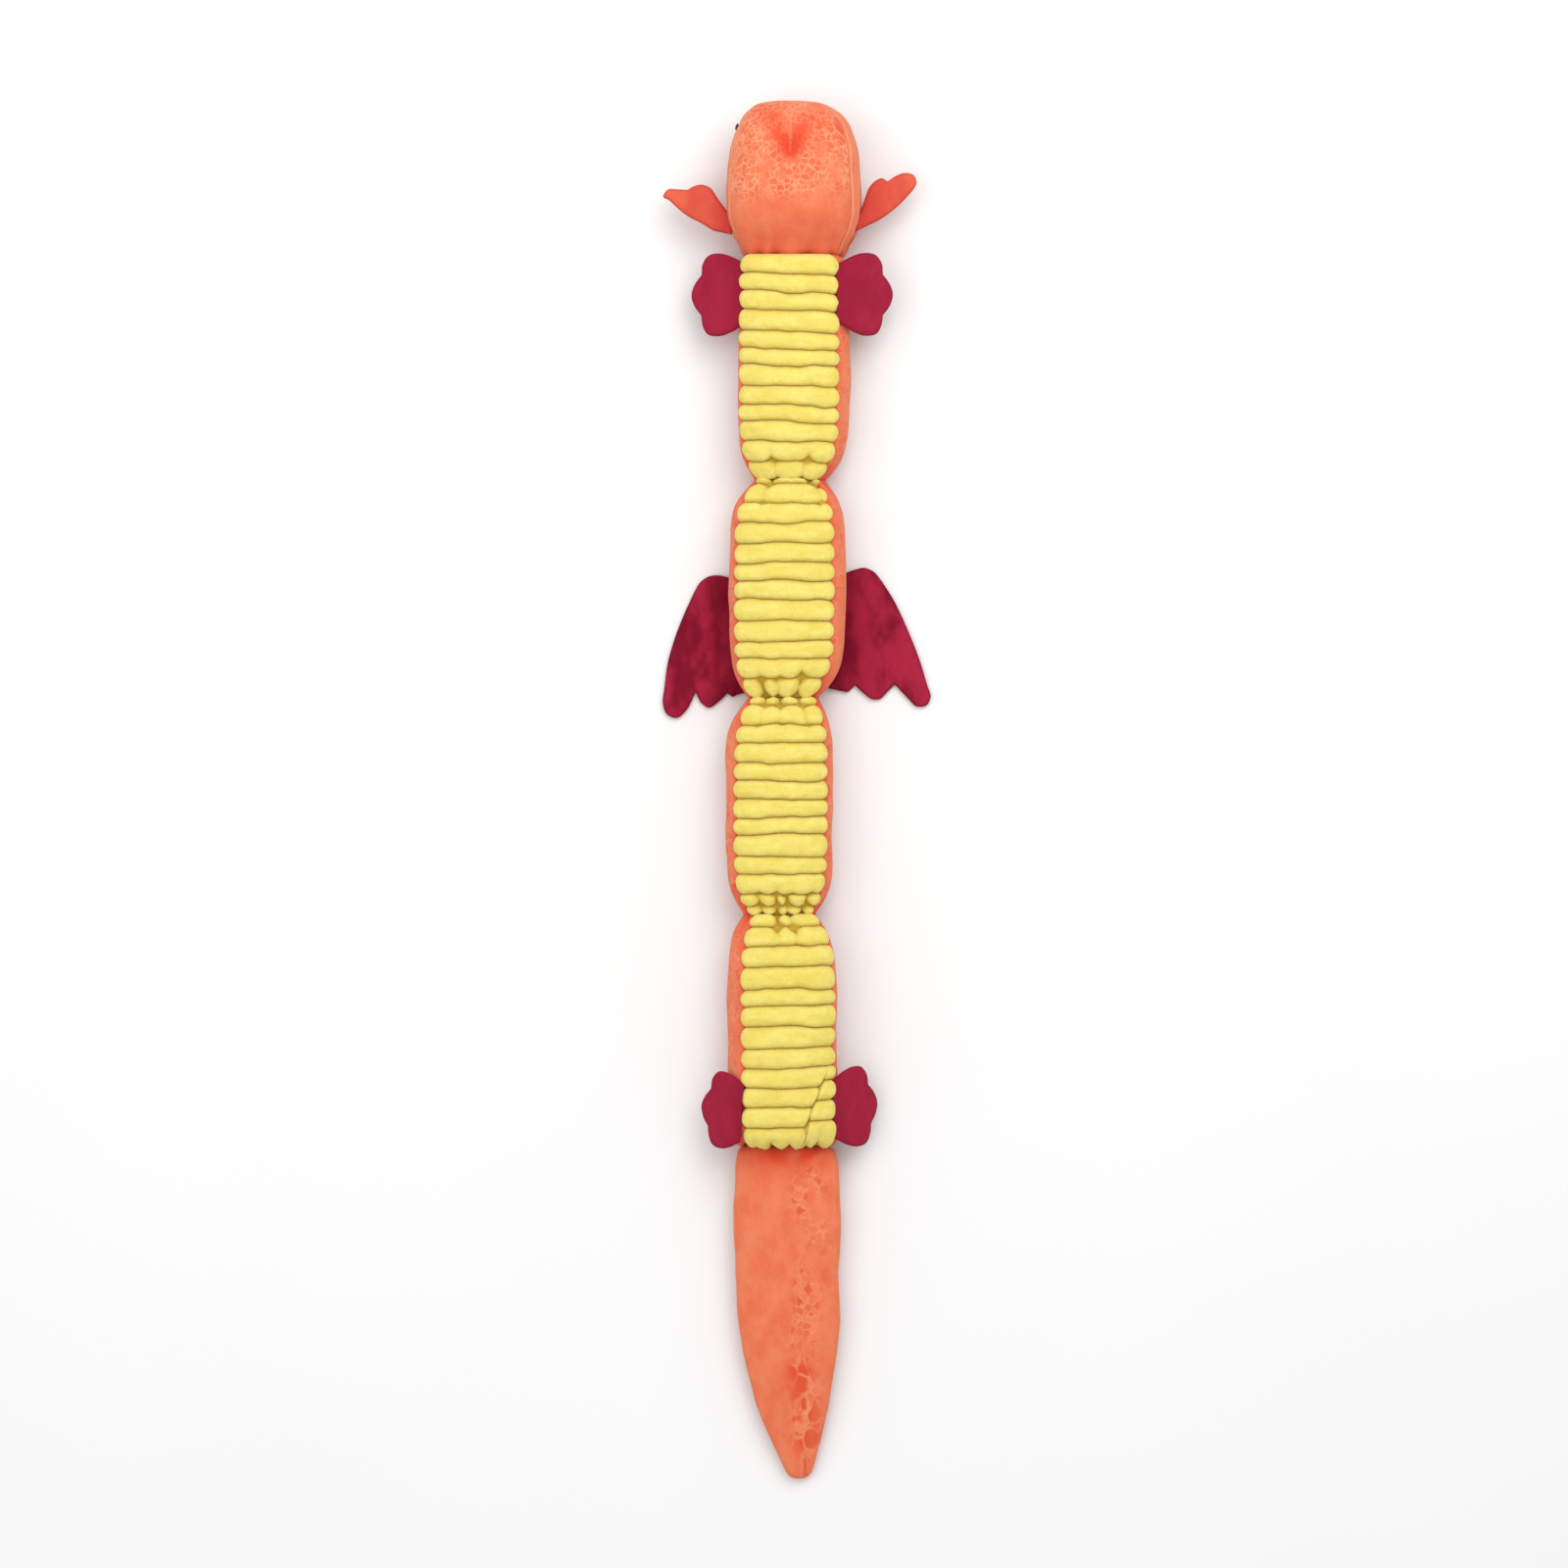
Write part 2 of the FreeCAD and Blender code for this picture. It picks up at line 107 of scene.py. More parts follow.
# %% The nodes of a finish
class Finish:
    """A material that is being made."""

    def __init__(self, name):
        self.material = bpy.data.materials.new(name)
        self.material.use_nodes = True
        self.tree = self.material.node_tree
        self.tree.nodes.clear()

    def node(self, kind, settings=None, inputs=None, out=0):
        """Adds a node, sets it, feeds its sockets and returns one of its outputs, or the node itself."""
        made = self.tree.nodes.new(kind)
        for key, value in (settings or {}).items():
            setattr(made, key, value)
        for key, value in (inputs or {}).items():
            if isinstance(value, Wire):
                self.tree.links.new(value.socket, made.inputs[key])
            else:
                made.inputs[key].default_value = value
        return made if out is None else Wire(self, made.outputs[out])

    def place(self):
        """Where a point is on the toy, in metres."""
        return self.node("ShaderNodeTexCoord", out="Object")

    def along(self, vector, axis):
        return self.node("ShaderNodeSeparateXYZ", {}, {0: vector}, out=axis)

    def stretched(self, vector, scale):
        return self.node("ShaderNodeMapping", {}, {"Vector": vector, "Scale": scale})

    def noise(self, vector, size, detail=2.0, rough=0.5):
        """Soft random patches of about that size in metres, from 0 to 1."""
        inputs = {"Vector": vector, "Scale": 1 / size, "Detail": detail, "Roughness": rough}
        return self.node("ShaderNodeTexNoise", {}, inputs)

    def cells(self, vector, size, feature="DISTANCE_TO_EDGE", out="Distance"):
        """Random cells of about that size: the distance to their edges, or a colour for each."""
        inputs = {"Vector": vector, "Scale": 1 / size, "Randomness": 0.9}
        return self.node("ShaderNodeTexVoronoi", {"feature": feature}, inputs, out=out)

    def range(self, value, low, high):
        """0 at low, 1 at high, and smooth between."""
        settings = {"interpolation_type": "SMOOTHSTEP"}
        inputs = {"Value": value, "From Min": low, "From Max": high}
        return self.node("ShaderNodeMapRange", settings, inputs)

    def mix(self, share, first, second):
        """One colour over another by a share."""
        return self.node("ShaderNodeMix", {"data_type": "RGBA"}, {0: share, 6: first, 7: second}, out=2)

    def kept(self, name):
        """A value kept at each point of the mesh."""
        return self.node("ShaderNodeAttribute", {"attribute_name": name}, out="Fac")

    def bump(self, height, distance, strength, normal=None):
        inputs = {"Height": height, "Distance": distance, "Strength": strength}
        if normal is not None:
            inputs["Normal"] = normal
        return self.node("ShaderNodeBump", {}, inputs)

    def surface(self, colour, roughness, normal=None, **fixed):
        """Ends the graph in a shader, with what is the same all over set on its own sockets."""
        inputs = {"Base Color": colour, "Roughness": roughness, **fixed}
        if normal is not None:
            inputs["Normal"] = normal
        shader = self.node("ShaderNodeBsdfPrincipled", {}, inputs)
        self.node("ShaderNodeOutputMaterial", {}, {"Surface": shader}, out=None)
        return self.material


LAMP_SHARE = 0.80  # the lamps are this much too bright for a colour to come out as on the chart


def paint(red, green, blue):
    """A colour from the 0 to 255 values of a paint chart, made linear, and dimmed for the bright lamps."""
    straight = [((v / 255 + 0.055) / 1.055) ** 2.4 if v > 10 else v / 3294.6 for v in (red, green, blue)]
    return (*(v * LAMP_SHARE for v in straight), 1.0)


print("a finish has", len([name for name in vars(Finish) if not name.startswith("_")]), "methods")

# %% [markdown]
# ## The belly cloth
# The belly is jumbo cord plush: soft pile in broad ribs. The ribs are real geometry, so the finish adds the
# pile and a painted shade. Pile that lies away from the eye looks deeper in colour, so two sizes of noise
# shift the yellow, and the value kept in each groove paints a darker yellow there as shade, where little light
# gets in.

# %% Yellow cord plush
def cord_plush():
    f = Finish("belly_cord_plush")
    place = f.place()
    nap = f.noise(f.stretched(place, (1.0, 2.6, 1.0)), 0.016, 3.0, 0.6)
    strands = f.noise(f.stretched(place, (2.2, 1.0, 1.6)), 0.0021, 3.0, 0.7)
    colour = f.mix(f.range(nap, 0.3, 0.72), paint(241, 219, 104), paint(250, 233, 128))
    colour = f.mix(f.range(strands, 0.45, 0.78) * 0.35, colour, paint(229, 202, 82))
    # painted shade: a darker yellow in the grooves and where folds cut the ribs
    colour = f.mix(f.kept("depth"), colour, paint(204, 164, 44))
    tufts = f.noise(place, 0.0045, 2.0, 0.6)
    colour = f.mix(f.range(tufts, 0.42, 0.75) * 0.30, colour, paint(235, 208, 88))
    pile = f.bump(strands, 0.0008, 0.8)
    normal = f.bump(nap + tufts, 0.0014, 0.45, pile)
    rough = 0.82 + 0.14 * strands
    fixed = {"Sheen Weight": 0.45, "Sheen Roughness": 0.45, "Sheen Tint": paint(255, 246, 190)}
    return f.surface(colour, rough, normal, **fixed, **{"Specular IOR Level": 0.15})


cloths = {"belly": cord_plush()}
print("belly cloth:", len(cloths["belly"].node_tree.nodes), "nodes")

# %% [markdown]
# ## The scale cloth
# The head, sides and tail are short orange plush with a printed crackle of scales: rounded cells with
# pale lines between them. The print is patchy, strong on the chin and worn away elsewhere, so a large
# noise, or a value kept on the mesh, says where it shows. Darker cells lie here and there.

# %% Orange scale plush
def crackle(f, place, cell, line):
    """Rounded cells with broken pale lines between them: where the lines are, and a tone for each cell."""
    inputs = {"Vector": place, "Scale": 1.3 / cell, "Detail": 1.0}
    wander = f.node("ShaderNodeTexNoise", {}, inputs, out="Color")
    wander = f.node("ShaderNodeVectorMath", {"operation": "SCALE"}, {0: wander, "Scale": cell * 0.45})
    bent = f.node("ShaderNodeVectorMath", {"operation": "ADD"}, {0: place, 1: wander})
    broken = f.range(f.noise(place, cell * 1.3, 2.0, 0.6), 0.30, 0.56)
    lines = (1.0 - f.range(f.cells(bent, cell), 0.02, line)) * broken
    return lines, f.along(f.cells(bent, cell, "F1", "Color"), 0)


def scale_plush(name, worn, line_strength, cell=0.0052, line=0.19, tone_strength=0.55):
    """The cloth: how worn its print is away from the kept patches, and how strong its lines and cells are."""
    f = Finish(name)
    place = f.place()
    fine, fine_tone = crackle(f, place, cell, line)
    broad, broad_tone = crackle(f, f.stretched(place, (1.0, 0.72, 1.0)), 0.0100, 0.11)
    large = f.kept("large")
    patch = f.range(f.noise(place, 0.030, 3.0, 0.6), 0.40, 0.62)
    show = f.range(patch * (1.0 - worn) + f.kept("print"), 0.05, 0.95)
    lines = fine * show * (1.0 - large) + broad * large * 1.3
    tone = f.range(fine_tone, 0.50, 0.75) * show * tone_strength * (1.0 - large)
    tone = tone + f.range(broad_tone, 0.15, 0.35) * large * 0.85
    nap = f.noise(f.stretched(place, (1.6, 1.0, 1.6)), 0.022, 4.0, 0.6)
    strands = f.noise(f.stretched(place, (1.5, 1.0, 1.5)), 0.0016, 3.0, 0.7)
    colour = f.mix(f.range(nap, 0.3, 0.7), paint(236, 114, 76), paint(243, 134, 95))
    colour = f.mix(tone, colour, paint(228, 76, 42))
    colour = f.mix(lines * line_strength, colour, paint(252, 176, 132))
    colour = f.mix(f.range(strands, 0.5, 0.8) * 0.28, colour, paint(226, 98, 62))
    # pale seam edges: the pale backing at the head's seams, and a painted highlight along the tail's side
    # seams
    colour = f.mix(f.kept("pale"), colour, paint(250, 168, 124))
    # painted shade: a deeper red in the creases, gathers and puckers
    colour = f.mix(f.kept("depth") * 0.9, colour, paint(236, 70, 38))
    tufts = f.noise(place, 0.0038, 2.0, 0.6)
    pile = f.bump(strands, 0.0007, 0.7)
    normal = f.bump(lines * 0.6 + nap * 0.8 + tufts * 0.7, 0.0009, 0.4, pile)
    rough = 0.80 + 0.15 * nap
    fixed = {"Sheen Weight": 0.35, "Sheen Roughness": 0.5, "Sheen Tint": paint(255, 205, 175)}
    return f.surface(colour, rough, normal, **fixed, **{"Specular IOR Level": 0.15})


cloths["back"] = scale_plush("back_scale_plush", 0.45, 0.42)
cloths["head"] = scale_plush("head_scale_plush", 1.0, 0.72, cell=0.0046, line=0.21, tone_strength=0.3)
cloths["tail"] = scale_plush("tail_scale_plush", 1.0, 0.40, cell=0.0060, line=0.17, tone_strength=0.7)
print("scale cloth:", len(cloths["back"].node_tree.nodes), "nodes, in", len(cloths) - 1, "kinds")

# %% [markdown]
# ## The trims
# The wings and ears are brushed pile: strokes of the hand leave pale and dark patches with soft borders.
# The paws are flat suede, with a much finer grain and no pile to brush. Both are the same finish with
# other colours and sizes.

# %% Brushed pile and suede
def brushed(name, light, dark, patch, grain, contrast, sheen):
    """Patches and fibres of two sizes in metres, between a light and a dark colour."""
    f = Finish(name)
    place = f.place()
    strokes = f.noise(f.stretched(place, (1.0, 0.55, 1.0)), patch, 3.0, 0.55)
    fibres = f.noise(place, grain, 3.0, 0.7)
    colour = f.mix(f.range(strokes, 0.36, 0.64) * contrast, light, dark)
    # painted shade: darker near the root and along the rim of a flap
    colour = f.mix(f.kept("depth") * 0.8, colour, dark)
    colour = f.mix(f.range(fibres, 0.5, 0.8) * 0.3, colour, dark)
    normal = f.bump(fibres, 0.0006, 0.7)
    normal = f.bump(strokes + f.noise(place, grain * 3.0, 2.0) * 0.5, 0.0012, 0.4, normal)
    fixed = {"Sheen Weight": sheen, "Sheen Roughness": 0.4, "Sheen Tint": light}
    return f.surface(colour, 0.84 + 0.12 * fibres, normal, **fixed, **{"Specular IOR Level": 0.12})


cloths["wing"] = brushed("wing_plush", paint(172, 35, 64), paint(116, 6, 34), 0.020, 0.0016, 0.85, 0.5)
cloths["paw"] = brushed("paw_suede", paint(171, 37, 64), paint(150, 24, 52), 0.012, 0.0007, 0.5, 0.25)
cloths["ear"] = brushed("ear_plush", paint(236, 108, 80), paint(196, 46, 48), 0.014, 0.0014, 0.3, 0.4)
print("trims:", [cloths[name].name for name in ("wing", "paw", "ear")])

# %% [markdown]
# ## Filling and thread
# The filling is polyester fibre, and elastic and plastic lie in it. None of them shows, so one plain
# finish with drawn-out wisps serves for all. The eyes are embroidered in black thread: rows laid side
# by side, which a wave pattern draws, glossier on the crest of each thread than between two.

# %% Inner finishes and eye thread
def hidden(name, first, second, grain, rough, stripes=0.0, clear=0.0):
    """What lies inside: wadding, elastic and moulded plastic."""
    f = Finish(name)
    place = f.place()
    wisps = f.noise(f.stretched(place, (1.0, 1.0, 1.0 + stripes)), grain, 4.0, 0.65)
    colour = f.mix(f.range(wisps, 0.3, 0.7), first, second)
    normal = f.bump(wisps, 0.0006, 0.5)
    return f.surface(colour, rough + 0.1 * wisps, normal, **{"Transmission Weight": clear})


def satin_stitch():
    """Black thread laid side by side."""
    f = Finish("eye_thread")
    inputs = {"Vector": f.place(), "Scale": 700.0, "Distortion": 1.5}
    rows = f.node("ShaderNodeTexWave", {"bands_direction": "Y"}, inputs)
    # painted highlight: the crest of each thread is painted a little lighter
    colour = f.mix(rows, paint(12, 12, 14), paint(34, 32, 36))
    return f.surface(colour, 0.35 + 0.2 * rows, f.bump(rows, 0.0002, 0.5))


cloths["filling"] = hidden("fibre_filling", paint(240, 238, 232), paint(222, 220, 212), 0.004, 0.85)
cloths["eye"] = satin_stitch()
print(len(cloths), "cloths in all")

# %% [markdown]
# ## Random hills
# Stuffing is lumpy and sewing is uneven. One function gives smooth random hills on a plane, always the
# same for the same seed, and every wobble of the toy comes from it.

# %% Smooth noise for shapes
def hills(x, y, seed):
    """Random values between -1 and 1 at whole numbers, joined smoothly."""
    table = np.random.default_rng(seed).uniform(-1, 1, (64, 64))
    x, y = np.broadcast_arrays(np.asarray(x, float), np.asarray(y, float))
    left, low = np.floor(x).astype(int), np.floor(y).astype(int)
    u, v = x - left, y - low
    u, v = u * u * (3 - 2 * u), v * v * (3 - 2 * v)
    here, right = table[left % 64, low % 64], table[(left + 1) % 64, low % 64]
    above, both = table[left % 64, (low + 1) % 64], table[(left + 1) % 64, (low + 1) % 64]
    return (here * (1 - u) + right * u) * (1 - v) + (above * (1 - u) + both * u) * v


def bell(distance, width):
    """1 at no distance, and less on both sides."""
    return np.exp(-((distance / width) ** 2))


print("hills on a line:", hills(np.arange(0, 3, 0.5), 0, 1).round(2))

# %% [markdown]
# ## Girths
# A stuffed tube has a rounded cross section that is wider than it is thick. A superellipse describes it:
# exponent 2 is an ellipse, and a little more makes it fuller at the shoulders, like a sausage that is
# pressed flat. A panel is a range of angles of that girth, and rows of it along the toy make a grid.

# %% The girth and the grid
FULLNESS = 2.5


def power(value, exponent):
    return np.sign(value) * np.abs(value) ** exponent


def girth(angles, x, z, a, b, fullness=FULLNESS):
    """Points around a cross section, for an array of angles in degrees."""
    t = np.radians(angles)
    return x + a * power(np.cos(t), 2 / fullness), z + b * power(np.sin(t), 2 / fullness)


def even_angles(first, last, count, a, b, fullness=FULLNESS):
    """Angles between first and last that are evenly spaced along the girth."""
    fine = np.linspace(first, last, 2000)
    x, z = girth(fine, 0, 0, a, b, fullness)
    length = np.concatenate([[0], np.cumsum(np.hypot(np.diff(x), np.diff(z)))])
    return np.interp(np.linspace(0, length[-1], count), length, fine)


def outward(grid, middle):
    """The unit normals of a grid of points, pointing away from its middle line."""
    down, across = np.gradient(grid, axis=0), np.gradient(grid, axis=1)
    normal = np.cross(across, down)
    normal /= np.linalg.norm(normal, axis=2, keepdims=True) + 1e-12
    away = np.sign((normal * (grid - middle)).sum(2).mean())
    return normal * away


print("a girth 80 mm wide and 50 mm thick, at 0, 45 and 90 degrees:")
print(np.round(girth(np.array([0, 45, 90]), 0, 0, 40, 25), 1))

# %% [markdown]
# A head or a tail changes its girth along its length without a formula. Its sizes are given in a few
# places only, and a smooth line through them gives every row between, evenly spaced like a lathe's
# profile that is drawn with a curve.

# %% A smooth line through a few sizes
def smooth_line(keys, step):
    """Evenly spaced rows of a smooth line through a few keys, which are rows of numbers in millimetres."""
    keys = np.array(keys, float) * MM
    run = np.concatenate([[0], np.cumsum(np.hypot(np.diff(keys[:, 0]), np.diff(keys[:, 1])))])
    slopes = np.gradient(keys, run, axis=0)
    at = np.linspace(0, run[-1], int(run[-1] / step) + 1)
    n = np.clip(np.searchsorted(run, at) - 1, 0, len(run) - 2)
    span = (run[n + 1] - run[n])[:, None]
    t = (at - run[n])[:, None] / span
    first = (2 * t**3 - 3 * t**2 + 1) * keys[n] + (t**3 - 2 * t**2 + t) * span * slopes[n]
    return first + (3 * t**2 - 2 * t**3) * keys[n + 1] + (t**3 - t**2) * span * slopes[n + 1]


print("rows 1 mm apart between three keys:", len(smooth_line([(0, 0), (10, 4), (20, 0)], 1 * MM)))

# %% [markdown]
# ## From a grid to cloth
# The grid becomes a mesh with its values kept at each point, and a Solidify modifier gives the cloth its
# thickness towards the inside. The modifier is applied, because a piece that bends has to be final.

# %% Make a cloth panel
def make_mesh(name, points, faces, cloth, values):
    """An object in the scene from points and faces, in a cloth, with values kept at its points."""
    mesh = bpy.data.meshes.new(name)
    mesh.from_pydata(points.tolist(), [], faces)
    for key, value in values.items():
        kept = mesh.attributes.new(key, "FLOAT", "POINT")
        kept.data.foreach_set("value", np.clip(value, 0, 1).astype(np.float32).ravel())
    mesh.materials.append(cloths[cloth])
    mesh.shade_smooth()
    piece = bpy.data.objects.new(name, mesh)
    bpy.context.scene.collection.objects.link(piece)
    return piece


def apply_modifier(piece, kind, **settings):
    """Adds a modifier, sets it and makes it final."""
    modifier = piece.modifiers.new(kind.title(), kind)
    for key, value in settings.items():
        setattr(modifier, key, value)
    bpy.ops.object.select_all(action="DESELECT")
    bpy.context.view_layer.objects.active = piece
    piece.select_set(True)
    bpy.ops.object.modifier_apply(modifier=modifier.name)


PLUSH = 1.6 * MM  # the thickness of the cloth
TOUCHING = 1e-6   # points nearer than this are one


def panel(name, grid, middle, cloth, values, thick=PLUSH, weld=False):
    """A panel of cloth whose outer face is the grid."""
    rows, columns = grid.shape[:2]
    index = np.arange(rows * columns).reshape(rows, columns)
    corners = [index[:-1, :-1], index[:-1, 1:], index[1:, 1:], index[1:, :-1]]
    face_normal = np.cross(grid[:-1, 1:] - grid[:-1, :-1], grid[1:, :-1] - grid[:-1, :-1])
    inside_out = (face_normal * (grid[:-1, :-1] - middle[:-1])).sum() < 0
    faces = np.stack(corners[::-1] if inside_out else corners, -1).reshape(-1, 4)
    piece = make_mesh(name, grid.reshape(-1, 3), faces.tolist(), cloth, values)
    if weld:
        apply_modifier(piece, "WELD", merge_threshold=TOUCHING)
    if thick:
        apply_modifier(piece, "SOLIDIFY", thickness=thick, offset=-1.0)
    return piece


print("plush cloth is", round(PLUSH / MM, 1), "mm thick")

# %% [markdown]
# ## The segments
# The body is four segments of one pattern, but no two were sewn alike. What differs is written down once,
# in a table, and every function below reads it from there: the count of ribs, odd narrow ribs beside a
# waist, where the gathers fold, and how far the belly is rolled to one side, as the toy lies twisted.

# %% The four segments
# turn: degrees the belly is rolled; ribs: how many even ones; lean: how far they slant; first and last: the
# widths in mm of odd ribs at the ends; folds: where the gathers fold, from -1 to 1 across the belly; slant:
# a fold across the ribs, from one place across and mm along the toy to another
segments = {
    "segment_1": {"front": "neck", "rear": "waist_1", "turn": 9.0, "ribs": 12, "lean": 0.13, "seed": 11,
                  "first": (), "last": (), "folds_front": (), "folds_rear": (-0.40, 0.27)},
    "segment_2": {"front": "waist_1", "rear": "waist_2", "turn": 5.0, "ribs": 11, "lean": -0.03, "seed": 23,
                  "first": (4.0,), "last": (), "folds_front": (-0.7, 0.52),
                  "folds_rear": (-0.42, 0.02, 0.46)},
    "segment_3": {"front": "waist_2", "rear": "waist_3", "turn": -3.0, "ribs": 10, "lean": -0.03, "seed": 37,
                  "first": (6.5,), "last": (9.4, 7.0), "folds_front": (-0.5, 0.02, 0.5),
                  "folds_rear": (-0.62, -0.2, 0.14, 0.52)},
    "segment_4": {"front": "waist_3", "rear": "tail_seam", "turn": -11.0, "ribs": 11, "lean": -0.08,
                  "seed": 41, "first": (9.5,), "last": (), "folds_front": (-0.25, 0.28),
                  "folds_rear": (-0.62, -0.3, 0.05, 0.42, 0.75), "slant": ((0.78, -198), (0.22, -250))},
}
print(len(segments), "segments between", [made["front"] for made in segments.values()], "and the tail seam")

# %% [markdown]
# Each segment swells from one waist to the next. Its size comes from the frame's back panel, and the
# waist's shape is a formula: narrow in the gathers, and full about 25 mm away. At the neck it stays open,
# and above the tail it rounds off like the end of a cushion.

# %% How a segment swells
WAIST = (25.3 * MM, 15.5 * MM)      # half width and half thickness in the gathers
OPEN_NECK = (36.0 * MM, 24.5 * MM)
OPEN_TAIL = (32.0 * MM, 14.0 * MM)
ROUNDED = 15 * MM  # the length over which the last segment rounds off above the tail
SWELL = 14 * MM    # the length over which a segment swells from a waist
SETTLE = 18 * MM   # the length over which its middle moves from the joint to the segment's own line


def pinch(distance, length):
    """1 in the gathers and 0 in the full part of a segment."""
    return np.exp(-((np.maximum(distance, 0) / length) ** 1.25))


def end_of(name, which):
    """Where a segment ends, its half width and half thickness there, and the length of its swell."""
    joint = segments[name][which]
    open_ends = {"neck": (OPEN_NECK, 5 * MM), "tail_seam": (OPEN_TAIL, ROUNDED)}
    size, length = open_ends.get(joint, (WAIST, SWELL))
    return joint_at[joint + "_yaw"], size, length


def segment_girth(name, y):
    """The middle (x, z), half width and half thickness of a segment at y."""
    low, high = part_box(name + "_back_panel")
    inner_low, inner_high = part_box(name + "_filling")
    x, z = (low.x + high.x) / 2, (inner_low.z + inner_high.z) / 2
    a, b = (high.x - low.x) / 2, (inner_high.z - inner_low.z) / 2 + 3.0 * MM
    xs, zs, half, thick = x + 0 * y, z + 0 * y, a + 0 * y, b + 0 * y
    for which, sign in (("front", 1), ("rear", -1)):
        at, size, length = end_of(name, which)
        d = np.maximum(sign * (at.y - y), 0)
        near = pinch(d, length)
        if segments[name][which] == "tail_seam":
            near = 1 - np.sqrt(1 - np.maximum(1 - d / ROUNDED, 0) ** 2)
            zs = zs - (z - size[1] - 1.5 * MM) * near
        else:
            zs = zs + (at.z - z) * np.exp(-d / SETTLE)
        half = half - (a - size[0]) * near
        thick = thick - (b - size[1]) * near
        xs = xs + (at.x - x) * np.exp(-d / SETTLE)
    return xs, zs, half, thick


for name in segments:
    ends = [end_of(name, which)[0].y for which in ("front", "rear")]
    _, _, half, thick = segment_girth(name, np.linspace(ends[1], ends[0], 99))
    print(name, "is", round((ends[0] - ends[1]) / MM), "mm long and swells to",
          round(2 * half.max() / MM), "x", round(2 * thick.max() / MM), "mm")

# %% [markdown]
# ## Ribs, gathers and seams
# A rib is a half-round ridge that runs from seam to seam and ends in a rounded tip that bulges over the
# seam. The cord is woven evenly, but a rib at a waist is narrow where the cloth was cut through it. Rows of
# the grid lie close together in the grooves and wide apart on the crests, which keeps the creases sharp.

# %% Where the ribs lie
RIB_ROUNDNESS = 2.9  # 2 is a half circle, and more is flatter on top
ROWS_OF_A_RIB = 18


def rib_grooves(name):
    """The y of the grooves between the ribs, from the front waist to the rear one."""
    made = segments[name]
    front, rear = end_of(name, "front")[0].y, end_of(name, "rear")[0].y
    first = front - np.cumsum((0,) + made["first"]) * MM
    last = rear + np.cumsum((0,) + made["last"][::-1])[::-1] * MM
    between = np.linspace(first[-1], last[0], made["ribs"] + 1)[1:-1]
    between = between + np.random.default_rng(made["seed"]).uniform(-1.1, 1.1, len(between)) * MM
    return np.concatenate([first, between, last])


def rib_shape(part, end):
    """A ridge with round ends: part runs from 0 to 1 across it, and end is 0 in its straight length."""
    away = np.sqrt((2 * part - 1) ** 2 + end**2)
    return np.maximum(1 - away**RIB_ROUNDNESS, 0) ** 0.5


def rib_rows(name):
    """The y of every row of the belly, its rib's number and its part of the way across that rib."""
    grooves = rib_grooves(name)
    part = (1 - np.cos(np.linspace(0, math.pi, ROWS_OF_A_RIB + 1)[:-1])) / 2
    ribs = len(grooves) - 1
    y = (grooves[:-1, None] + (grooves[1:] - grooves[:-1])[:, None] * part).ravel()
    number, part = np.repeat(np.arange(ribs), ROWS_OF_A_RIB), np.tile(part, ribs)
    return np.append(y, grooves[-1]), np.append(number, ribs - 1), np.append(part, 1.0)


print("ribs:", {name: len(rib_grooves(name)) - 1 for name in segments})

# %% [markdown]
# At a waist the cloth is gathered on an elastic, so the last ribs break into four or five plump lobes. A
# fold is a line along the toy that bends a little on its way, and it is strongest at the waist. The last
# segment also has one long slanting fold, where the cloth was sewn in crooked: the ribs beyond it have
# slipped. Both only give a number from 0 to 1 at each point, which later cuts into the ribs.

# %% Gathers and the slanting fold
WAIST_REACH, OPEN_REACH = 21 * MM, 11 * MM  # how far the gathers of a waist and of an open end reach
FOLD_WIDTH = 4.0 * MM                       # half the width of a fold
SLIP = 4.6 * MM                             # how far the ribs have slipped beyond the slanting fold


def gathers(name, rows, number, columns, half_arc):
    """How much the gathers fold each point in: 1 in the middle of a fold at the waist."""
    made, fold_in = segments[name], 0 * rows
    for which in ("front", "rear"):
        at = end_of(name, which)[0].y
        reach, most = (WAIST_REACH, 1.3) if made[which].startswith("waist") else (OPEN_REACH, 0.75)
        near = np.clip(most * np.exp(-((np.abs(at - rows) / reach) ** 2.4)), 0, 1)
        for n, fold in enumerate(made["folds_" + which]):
            bend = 0.10 * hills(number * 3.3, n * 5.1, made["seed"] + 5)
            bend = bend + 0.04 * hills(rows / 0.004, n, made["seed"] + 6)
            away = np.abs(columns - fold - bend) * half_arc * (1 - 0.45 * near)
            strength = near * (0.95 + 0.35 * hills(number * 4.7, n * 3.7, made["seed"] + 8))
            fold_in = np.maximum(fold_in, strength * (1 - np.clip(away / FOLD_WIDTH, 0, 1)))
    return np.minimum(fold_in, 1)


def slanted_fold(name, rows, columns, half_arc):
    """A fold that runs slantwise over the ribs: 1 in it, and how far the ribs beyond it have slipped."""
    if "slant" not in segments[name]:
        return 0 * rows, 0 * rows
    (u0, y0), (u1, y1) = segments[name]["slant"]
    t = (y0 * MM - rows) / ((y0 - y1) * MM)
    away = (-columns - u0 - (u1 - u0) * t) * half_arc
    there = np.clip(t / 0.25, 0, 1) * np.clip((1.15 - t) / 0.15, 0, 1)
    slip = there * np.clip(0.5 + away / (3 * MM), 0, 1) * SLIP
    return there * (1 - np.clip(np.abs(away) / (3.2 * MM), 0, 1)), slip


for name, made in segments.items():
    print(name, "has", len(made["folds_front"]), "folds in front and", len(made["folds_rear"]), "behind")

# %% [markdown]
# Now all of it becomes one height above the panel. The ridge takes its shape from the rib and from the
# folds that cut it, the edge tucks under into the side seam, and small hills make the pile uneven. The
# deeper a point lies, the more painted shade it keeps, which the finish paints as a darker yellow.

# %% The height of the belly cloth
RIB_HEIGHT = 4.9  # mm
RIB_TIP = 6.2     # length of the rounded tip of a rib, in mm
TUCK = 1.7 * MM   # how far the cloth between the tips and the seam is pulled in
HEM = 2.4 * MM    # and how far the very edge dips into the seam


